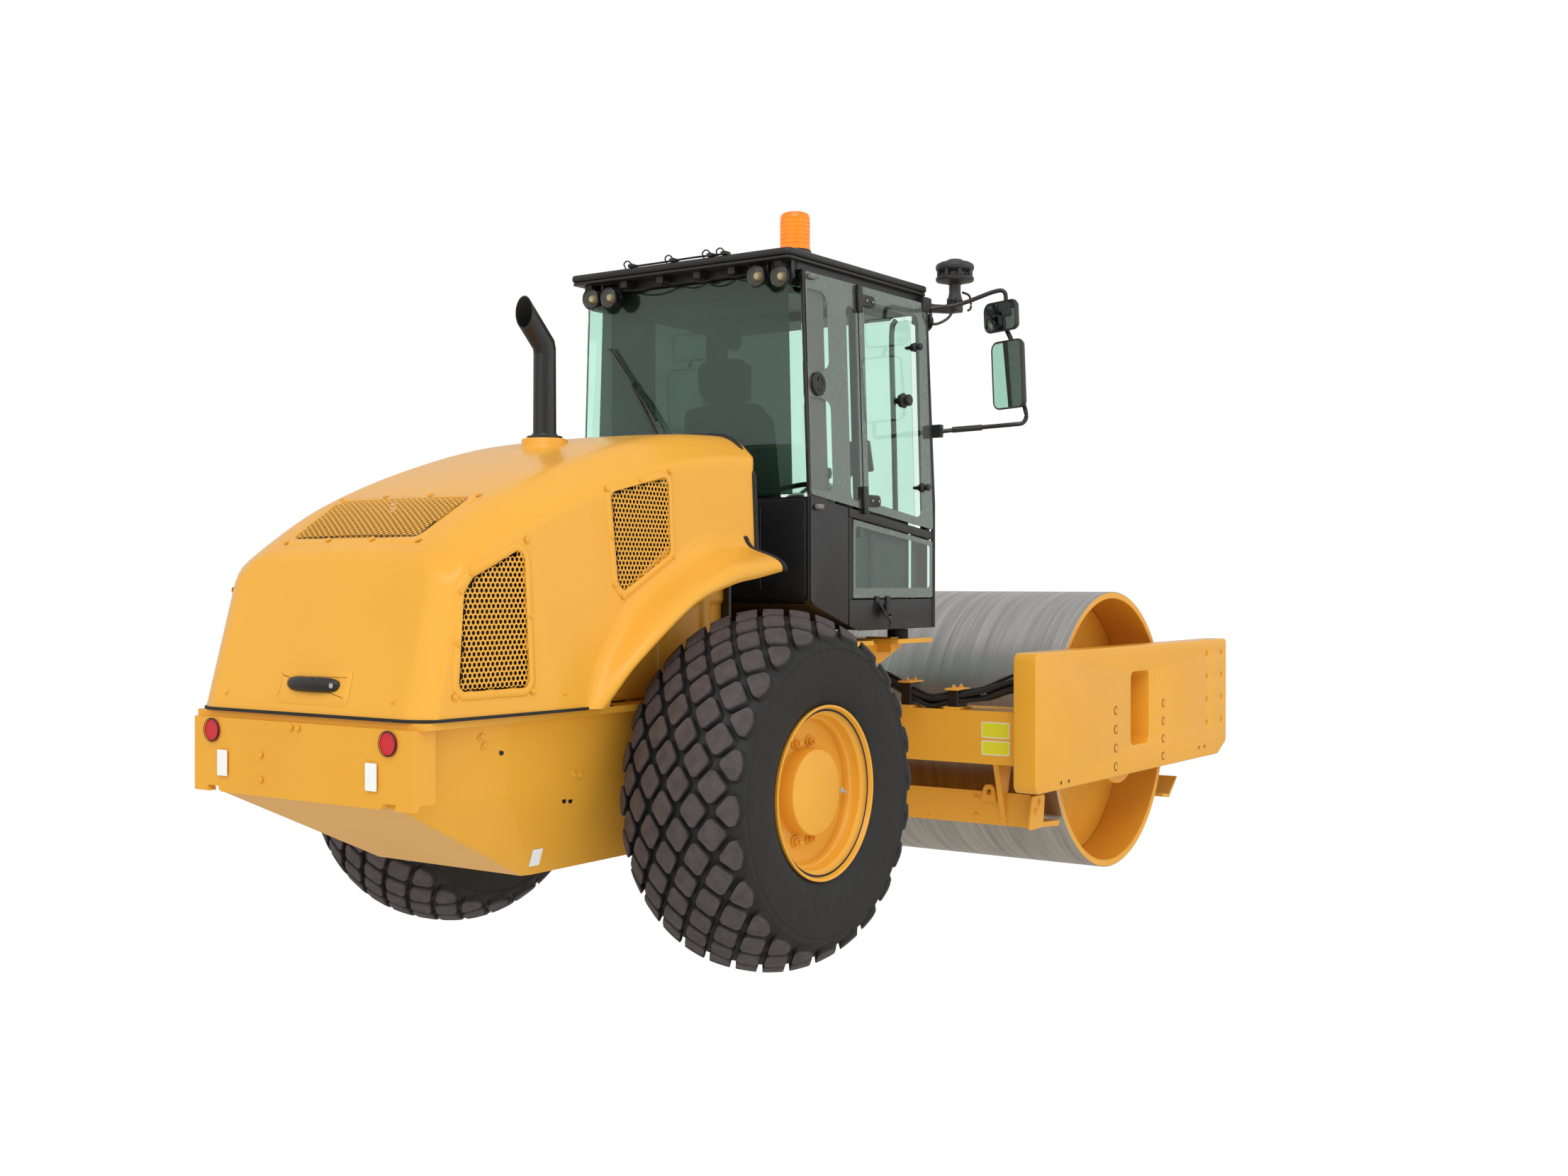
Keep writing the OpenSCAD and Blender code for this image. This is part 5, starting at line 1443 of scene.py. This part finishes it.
def door_parts():
    """Handle, lock and hinge covers of the door on the left."""
    piece = Piece("door_parts", "door", SATIN_BLACK, BLACK_PLASTIC)
    y = cab_half(WAIST_Z) + DOOR_DEPTH
    for z in (1.6, 2.26, 2.85):
        piece.add(box((1.1, y - 0.002, z - 0.03), (1.19, y + 0.006, z + 0.03), 0.002))
        for x in (1.13, 1.165):
            piece.add(bolt((x, y + 0.006, z), (0, 1, 0), 0.009))
    piece.add(pipe([(1.665, y - 0.004, 1.95), (1.66, y + 0.03, 1.96), (1.66, y + 0.036, 2.06),
                    (1.66, y + 0.03, 2.14), (1.665, y - 0.004, 2.15)], 0.011, 24, 10), kind=1)
    piece.add(box((1.635, y - 0.004, 1.83), (1.69, y + 0.012, 1.93), 0.005), kind=1)
    piece.build(REAR, slot="black_paint")


# Drum frame, from the drum axle

# faces of the side plates, rear face of the rear crossbeam, and bolts of the plates in X and Z
PLATE_IN, PLATE_OUT = 1.106, 1.233
BEAM_REAR = -1.233
RING_BOLTS = [(x, z) for x in (-0.336, 0.338) for z in (0.897, 0.796, 0.695, 0.595)]
SUNK_BOLTS = [(x, z) for x in (1.042, 1.294) for z in (1.154, 1.015, 0.875, 0.736)]
LOW_BOLTS = [(-1.031, 0.578), (-0.941, 0.578), (0.897, 0.598), (0.991, 0.598)]


# bolt profiles: black seat at the floor of a sunk hole, flush ring bolt, the black ring of its groove, low
# cap and its black socket; the black seat, ring and socket are painted shade
SUNK_FLOOR_SHADE = [(0.0175, 0.0), (0.0, 0.0)]
RING_BOLT = [(0.0205, -0.001), (0.0205, 0.0012), (0.0185, 0.0022), (0.0165, 0.0015), (0.016, -0.0008),
             (0.0145, -0.0008), (0.0135, 0.0012), (0.011, 0.0018), (0.0075, 0.0012), (0.0065, -0.0012),
             (0.0, -0.0012)]
RING_GROOVE_SHADE = [(0.024, 0.0002), (0.024, 0.0012), (0.0185, 0.0022)]
LOW_CAP = [(0.019, 0.0), (0.019, 0.002), (0.016, 0.003), (0.0, 0.003)]
LOW_SOCKET_SHADE = [(0.011, 0.0031), (0.0, 0.0031)]


def plate_bolts(piece, side):
    """Sunk, flush and low bolts in one side plate, with black painted shade in their holes, grooves and
    sockets.
    """
    axis = (0, side, 0)

    def turned(profile, place, depth, n, kind=0):
        at = (place[0], side * (PLATE_OUT + depth), place[1])
        piece.add(spin(profile, at, axis, n), kind=kind)

    for x, z in SUNK_BOLTS:
        # flat black disc deep in each sunk hole: painted shade
        turned(SUNK_FLOOR_SHADE, (x, z), -0.022, 20, 1)
        piece.add(bolt((x, side * (PLATE_OUT - 0.021), z), axis, 0.0115, head=0.8))
    for place in RING_BOLTS:
        turned(RING_BOLT, place, 0.0003, 24)
        # black ring round each flush bolt: painted shade of its groove
        turned(RING_GROOVE_SHADE, place, 0, 24, 1)
    for place in LOW_BOLTS:
        turned(LOW_CAP, place, 0, 24)
        # black hexagon on each low cap: painted shade of its socket
        turned(LOW_SOCKET_SHADE, place, 0, 6, 1)


def side_plates():
    """Thick plates with rolled edges, a slot and bolts."""
    outline = rounded([(-1.31, 0.543), (1.23, 0.533), (1.375, 0.603), (1.375, 1.238), (-1.31, 1.238)],
                      (0.045, 0.04, 0.04, 0.025, 0.045), 6)
    slot = rect(-0.129, 0.691, 0.134, 1.094, 0.04, 6)
    holes = [slot] + [circle(0.017, 20, x, z) for x, z in SUNK_BOLTS]
    for side, name in NAMED_SIDES:
        piece = Piece("plate_" + name, "drum_frame", YELLOW_FRAME, SATIN_BLACK)
        shape = plate(outline, 1, PLATE_IN, PLATE_OUT, holes, chamfer=0.009, steps=4)
        piece.add(shape if side > 0 else mirrored(shape))
        plate_bolts(piece, side)
        piece.build(DRUM, replaces=["side_plate_" + name], slot="machine_yellow", sharp=28)


def beams():
    """Labels, weld beads, hitch ring and bolts on the crossbeams."""
    piece = Piece("beam_parts", "drum_frame", YELLOW_FRAME, LABEL, LABEL_EDGE)
    face = BEAM_REAR
    for z0, z1 in ((0.802, 0.884), (0.716, 0.79)):
        outer = rect(-1.05, z0, -0.892, z1, 0.006, 3)
        piece.add(plate(outer, 0, face - 0.0018, face - 0.0002), kind=2)
        piece.add(plate(offset(outer, 0.006), 0, face - 0.0024, face - 0.0016), kind=1)
    k = np.linspace(0, 1, 60)
    y, ripple = PLATE_IN - 0.004 + 0 * k, np.sin(60 * k)
    upright = np.stack([face + 0.004 + 0.002 * ripple, y, 0.675 + 0.255 * k], 1)
    level = np.stack([face + 0.04 + 0.19 * k, y, 0.938 + 0.0015 * ripple], 1)
    piece.both(carried(circle(0.009, 8), upright, up=(1, 0, 0)), carried(circle(0.009, 8), level))
    ring = [(0.17, -0.002), (0.17, 0.018), (0.164, 0.024), (0.118, 0.024), (0.112, 0.018), (0.112, -0.002)]
    piece.add(spin(ring, (face, 0, 0.8), (-1, 0, 0), 64))
    for a in np.radians(np.arange(0, 360, 45)):
        at = (face - 0.024, 0.141 * math.cos(a), 0.8 + 0.141 * math.sin(a))
        piece.add(bolt(at, (-1, 0, 0), 0.012))
    piece.build(DRUM, slot="machine_yellow")


# middle line of the bundle, in Y and Z, and its clamps: place in Y and height of the top
HOSE_LINE = [(-0.07, 0.985), (-0.15, 1.045), (-0.26, 1.078), (-0.35, 1.058), (-0.442, 1.015),
             (-0.53, 0.984), (-0.6, 0.974), (-0.718, 0.99), (-0.83, 1.006), (-0.9, 1.018), (-0.98, 1.046),
             (-1.1, 1.082)]
CLAMPS = ((-0.442, 1.064), (-0.718, 1.034))
# hoses of the bundle: place across it, forward and up, and radius
HOSE_LANES = [(-0.034, 0.014, 0.0135), (-0.033, -0.014, 0.012), (-0.006, 0.018, 0.0135),
              (-0.008, -0.012, 0.011), (0.02, 0.015, 0.0125), (0.022, -0.014, 0.0115),
              (0.043, 0.008, 0.009), (0.042, -0.018, 0.0085), (-0.02, 0.034, 0.009)]
HOSE_X = BEAM_REAR + 0.065


def hose_bundle(piece):
    """Hoses on their lanes, loose between the clamps and fanned out past the second; three carry tags."""
    y, z = smooth_path(HOSE_LINE, 70).T
    nearest = np.minimum(*[np.abs(y - place) for place, _ in CLAMPS])
    free = np.clip((nearest - 0.03) / 0.12, 0, 1)
    fan = np.clip((-y - 0.85) / 0.25, 0, 1)
    sag = np.sin(np.pi * np.clip((-y - 0.44) / 0.28, 0, 1))
    for k, (dx, dz, r) in enumerate(HOSE_LANES):
        wave = free * 0.009 * np.sin(9 * y + 2.1 * k)
        drop = free * (0.006 * np.cos(7 * y + 1.7 * k) - 0.012 * (k % 3 == 1) * sag)
        points = np.stack([HOSE_X + dx * (1 + 0.4 * fan) + wave, y, z + dz * (1 + 0.5 * fan) + drop], 1)
        piece.add(carried(circle(r, 10), points, up=(1, 0, 0)))
        if k in (2, 4, 6):
            for start in (30, 52):
                tag = points[start + k // 2:start + k // 2 + 3]
                piece.add(carried(circle(r + 0.0012, 10), tag, up=(1, 0, 0)), kind=4)


def hose_clamps(piece):
    """Two blocks split by a seam, between bolted plates."""
    for y, top in CLAMPS:
        piece.add(box((HOSE_X - 0.052, y - 0.03, 0.935), (HOSE_X + 0.056, y + 0.03, top), 0.005), kind=2)
        for half, low, high in ((0.042, top, top + 0.01), (0.05, 0.936, 0.95)):
            piece.add(box((HOSE_X - 0.066, y - half, low), (HOSE_X + 0.07, y + half, high), 0.003, 0.008),
                      kind=1)
        seam = (0.935 + top) / 2
        piece.add(box((HOSE_X - 0.0525, y - 0.02, seam - 0.001), (HOSE_X - 0.05, y + 0.02, seam + 0.001),
                      0.0003), kind=2)
        for x in (HOSE_X - 0.038, HOSE_X + 0.042):
            piece.add(bolt((x, y, top + 0.01), (0, 0, 1), 0.0115, head=0.9), kind=1)
            piece.add(rod((x, y, top + 0.01), (x, y, top + 0.03), 0.006, 10, 0.001), kind=3)


def hoses():
    """Bundle of hoses over the crossbeam, held by two clamps, with a wrap where it ends."""
    piece = Piece("hose_runs", "drum_frame", SOFT_RUBBER, YELLOW_FRAME, SATIN_BLACK, BRIGHT, WHITE_PLATE)
    hose_bundle(piece)
    hose_clamps(piece)
    piece.add(box((HOSE_X - 0.046, -0.1, 0.937), (HOSE_X + 0.046, -0.06, 1.02), 0.006), kind=2)
    piece.build(DRUM, slot="rubber", sharp=40)


def drum():
    """Thick rolled shell: bare steel outside, yellow on its rims and within."""
    r, half = DRUM_Z, 1.067
    shell = Piece("drum_skin", "drum", STEEL, YELLOW_FRAME)
    outer = [(r - 0.004, -half), (r, -half + 0.004), (r, half - 0.004), (r - 0.004, half)]
    shell.add(spin(outer, (0, 0, DRUM_Z), (0, 1, 0), 160))
    lip = [(r - 0.004, half), (r - 0.034, half), (r - 0.038, half - 0.004), (r - 0.038, half - 0.3)]
    shell.both(spin(lip, (0, 0, DRUM_Z), (0, 1, 0), 160), kind=1)
    shell.build(DRUM, replaces=["drum_shell"], slot="bare_steel")


def scraper_parts():
    """Ears, end straps and bolts of the scrapers."""
    piece = Piece("scraper_parts", "drum_frame", YELLOW_FRAME)
    for y in (-0.82, 0.82):
        ear = rounded([(y - 0.045, 0.45), (y + 0.045, 0.45), (y + 0.03, 0.54), (y - 0.03, 0.54)],
                      (0, 0, 0.03, 0.03), 5)
        piece.add(plate(ear, 0, -1.018, -1.001, [circle(0.014, 16, y, 0.5)], chamfer=0.003))
        for z in (0.368, 0.46):
            piece.add(*[bolt((-1.0005, y + dy, z), (-1, 0, 0), 0.013) for dy in (-0.24, -0.08, 0.08)])
    strap = rounded([(-1.09, 0.33), (-0.93, 0.33), (-0.91, 0.5), (-1.06, 0.5)], 0.015, 3)
    piece.both(plate(strap, 1, 1.075, 1.09, chamfer=0.003))
    piece.both(*[bolt((x, 1.09, z), (0, 1, 0), 0.014) for x, z in ((-1.02, 0.42), (-0.98, 0.46))])
    piece.both(*[bolt((1.0375, y, 0.38), (1, 0, 0), 0.012) for y in (0.2, 0.5, 0.85)])
    piece.add(*[bolt((-0.99, y, 0.355), (-0.2, 0, 1), 0.01) for y in (-0.92, -0.46, 0.0, 0.46, 0.92)])
    piece.build(DRUM, slot="machine_yellow")


# Rear frame, from the wheel axle


def frame_parts():
    """Bolts, blank plates, black discs painted as the shade of dimples, and a black strip painted as the
    shade of the seam under the hood, on the rear frame.
    """
    piece = Piece("frame_parts", "rear_frame", YELLOW_FRAME, WHITE_PLATE, SATIN_BLACK, SOFT_RUBBER)
    x = -1.6915
    for y0, y1 in ((0.386, 0.444), (-0.424, -0.366)):
        outline = rect(y0, 0.866, y1, 0.963, 0.004, 2)
        piece.add(plate(outline, 0, x - 0.0022, x - 0.0004, chamfer=0.0004), kind=1)
    for y, z in ((0.028, 1.063), (-0.011, 1.064), (0.194, 0.956), (0.194, 0.866)):
        piece.add(spin([(0.0095, 0.0), (0.0095, 0.003), (0.006, 0.005), (0.0, 0.005)], (x, y, z),
                       (-1, 0, 0), 16))
    reflector = [(0.045, 0.0), (0.045, 0.004), (0.041, 0.006), (0.041, 0.004)]
    piece.both(spin(reflector, (x, 0.478, 1.034), (-1, 0, 0), 36), kind=2)
    for x2, z, r in ((-1.319, 1.035, 0.012), (-1.301, 1.003, 0.012), (-0.795, 0.847, 0.01),
                     (-0.758, 0.843, 0.01)):
        piece.both(bolt((x2, tub_half(x2, z) + 0.001, z), (0, 1, 0), r))
    # flat black discs: painted shade of small dimples in the tub's sides
    for x2, z in ((-1.211, 0.969), (-0.823, 0.748), (-0.786, 0.744)):
        piece.both(spin([(0.012, 0.0005), (0.0, 0.0005)], (x2, tub_half(x2, z) + 0.001, z), (0, 1, 0), 18),
                   kind=2)
    v, f = plate(rect(-0.935, 0.5, -0.879, 0.567, 0.003, 2), 1, 0.002, 0.003)
    v[:, 1] += tub_half(v[:, 0], v[:, 2])
    piece.both((v, f), kind=1)
    # black strip on top of the tub, under the hood's edge: painted shade of the seam
    k = np.linspace(-1.62, -0.66615, 21)
    strip = np.stack([k, 0.6 + 0 * k, 1.1065 + 0 * k], 1)
    piece.both(carried(rect(-0.02, 0.0, 0.02, 0.004), strip), kind=3)
    piece.build(REAR, slot="machine_yellow")


def tub_half(x, z):
    """Half width of the tub's side at a height: its levels' widths ahead of and behind the bend."""
    t = np.clip((np.asarray(z, float) - 0.465) / 0.34, 0, 1)
    u = np.clip((np.asarray(z, float) - 0.804) / 0.276, 0, 1)
    ahead = 0.41 + 0.11 * t + 0.05 * u
    bend_x = -0.9 - 0.26 * t - 0.03 * u
    rear_x = -0.949 - 0.702 * t
    rear_half = 0.395 + 0.095 * t + 0.04 * u
    s = np.clip((bend_x - np.asarray(x, float)) / np.maximum(bend_x - rear_x, 1e-6), 0, 1)
    return ahead + (rear_half - ahead) * s


def hitch_parts():
    """A bolted keeper plate on the steering pivot, and hoses round it."""
    piece = Piece("hitch_parts", "rear_frame", YELLOW_FRAME, BRIGHT, SOFT_RUBBER)
    pivot = np.array([1.5, 0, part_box("hitch_frame")[1][2]])
    piece.add(spin([(0.075, -0.005), (0.075, 0.014), (0.07, 0.018), (0.0, 0.018)], pivot, (0, 0, 1), 36))
    for x, y in circle(0.055, 6):
        piece.add(bolt(pivot + (x, y, 0.018), (0, 0, 1), 0.01), kind=1)
    for k in range(5):
        dy = -0.05 - 0.034 * k
        piece.add(pipe([(0.88, dy - 0.02, 0.98 + 0.01 * k), (1.05, dy, 1.0 + 0.012 * k),
                        (1.25, dy * 0.8, 0.985), (1.44, dy * 0.6 - 0.04, 1.01)], 0.012, 40, 10), kind=2)
    piece.build(REAR, slot="machine_yellow")


def step_parts():
    """Raised teeth on the treads of the steps."""
    piece = Piece("step_parts", "rear_frame", SATIN_BLACK)
    tooth = [(0.011, 0.0), (0.01, 0.005), (0.006, 0.005), (0.005, 0.0)]
    for z in (0.595, 0.855, 1.115):
        for x in np.linspace(0.93, 1.13, 7):
            piece.add(*[spin(tooth, (x, y, z), (0, 0, 1), 10) for y in np.linspace(0.71, 0.87, 5)])
    piece.build(REAR, slot="black_paint")


def mount_parts():
    """Nuts and washers under the cab's rubber mounts, and gussets of their plates."""
    piece = Piece("mount_parts", "rear_frame", YELLOW_FRAME, SATIN_BLACK, BRIGHT)
    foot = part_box("cab_mounts")[0][2]
    for x in (1.03, 1.6):
        at = (x, 0.5595, foot)
        piece.both(spin([(0.034, 0.0), (0.034, 0.006), (0.0, 0.006)], at, (0, 0, 1), 24), kind=1)
        piece.both(bolt(at, (0, 0, -1), 0.017, head=0.7), kind=2)
        gusset = [(x - 0.13, 1.315), (x - 0.13, 1.24), (x - 0.1, 1.24), (x - 0.06, 1.315)]
        piece.both(plate(gusset, 1, 0.45, 0.6, chamfer=0.002))
    piece.build(REAR, slot="machine_yellow")


# finishes of the construction nodes that stay in view, or stand in for a piece; the others are enamel
NODE_FINISH = [
    (RED_LENS, "reflectors"), (BLACK_AND_SHADE, "engine_block hood_grilles"), (SOFT_RUBBER, "cab_mounts"),
    (BLACK_PAINT, "bulkhead receiver_post access_steps steer_barrel_left steer_barrel_right"),
    (BLACK_PLASTIC, "cab_shell cab_roof steering_console work_lights mirrors hood_handle door_frame"),
    (GLASS, "door_glass"), (SEAT_CLOTH, "driver_seat"), (AMBER, "beacon"), (SATIN_BLACK, "exhaust_stack"),
    (SIDEWALL, "tyre_left tyre_right"), (STEEL, "drum_shell"), (CHROME, "steer_rod_left steer_rod_right"),
]


def finish_nodes():
    """Gives every construction node its finish."""
    listed = {name: finish for finish, names in NODE_FINISH for name in names.split()}
    for name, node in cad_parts.items():
        node.data.materials.clear()
        node.data.materials.append(listed.get(name, YELLOW_FRAME))


# suns: heading and height they shine from, strength, and softness in degrees
SUNS = [
    ("key sun", 215, 48, 1.0, 40),
    ("fill sun", 285, 8, 0.7, 70),
    ("rear sun", 175, 25, 0.5, 60),
    ("floor glow", 225, -45, 0.5, 80),
]


def make_stage():
    """White world for the camera, dimmer for light, a warm floor in reflections, and soft suns."""
    scene = bpy.context.scene
    scene.view_settings.view_transform = "Standard"
    scene.view_settings.look = "None"
    world = bpy.data.worlds.new("studio")
    world.use_nodes = True
    scene.world = world
    tree = Nodes(world.node_tree)
    tree.nodes.clear()
    rays = tree.node("LightPath").outputs
    seen = tree.math("MAXIMUM", rays["Is Camera Ray"], rays["Is Transmission Ray"])
    sky = tree.mix_shader(seen, *[tree.node("Background", (1, 1, 1, 1), level) for level in (0.68, 1.0)])
    way = tree.node("SeparateXYZ", tree.node("TexCoord").outputs["Generated"]).outputs[2]
    floor_seen = tree.math("MULTIPLY", tree.math("LESS_THAN", way, -0.02), rays["Is Glossy Ray"])
    floor = tree.node("Background", (0.9, 0.82, 0.7, 1), 0.55)
    tree.node("OutputWorld", tree.mix_shader(floor_seen, sky, floor).outputs[0])
    for name, heading, height, strength, spread in SUNS:
        data = bpy.data.lights.new(name, "SUN")
        data.energy, data.angle = strength, math.radians(spread)
        sun = bpy.data.objects.new(name, data)
        a, e = math.radians(heading), math.radians(height)
        to = Vector((math.cos(a) * math.cos(e), math.sin(a) * math.cos(e), math.sin(e)))
        sun.rotation_euler = to.to_track_quat("Z", "Y").to_euler()
        scene.collection.objects.link(sun)


make_camera()
make_stage()
HOOD_AND_WHEELS = (hood_skin, arch_flares, arch_liners, hood_grilles, hood_handle, exhaust, hood_trim,
                   tyres, rims)
CAB = (cab_panes, cab_frame, cab_panels, roof, cab_fittings, lamps, beacon, receiver, mirrors, seat, console,
       door_parts)
FRAMES = (side_plates, beams, hoses, drum, scraper_parts, frame_parts, hitch_parts, step_parts, mount_parts)
for dress in HOOD_AND_WHEELS + CAB + FRAMES:
    dress()
finish_nodes()
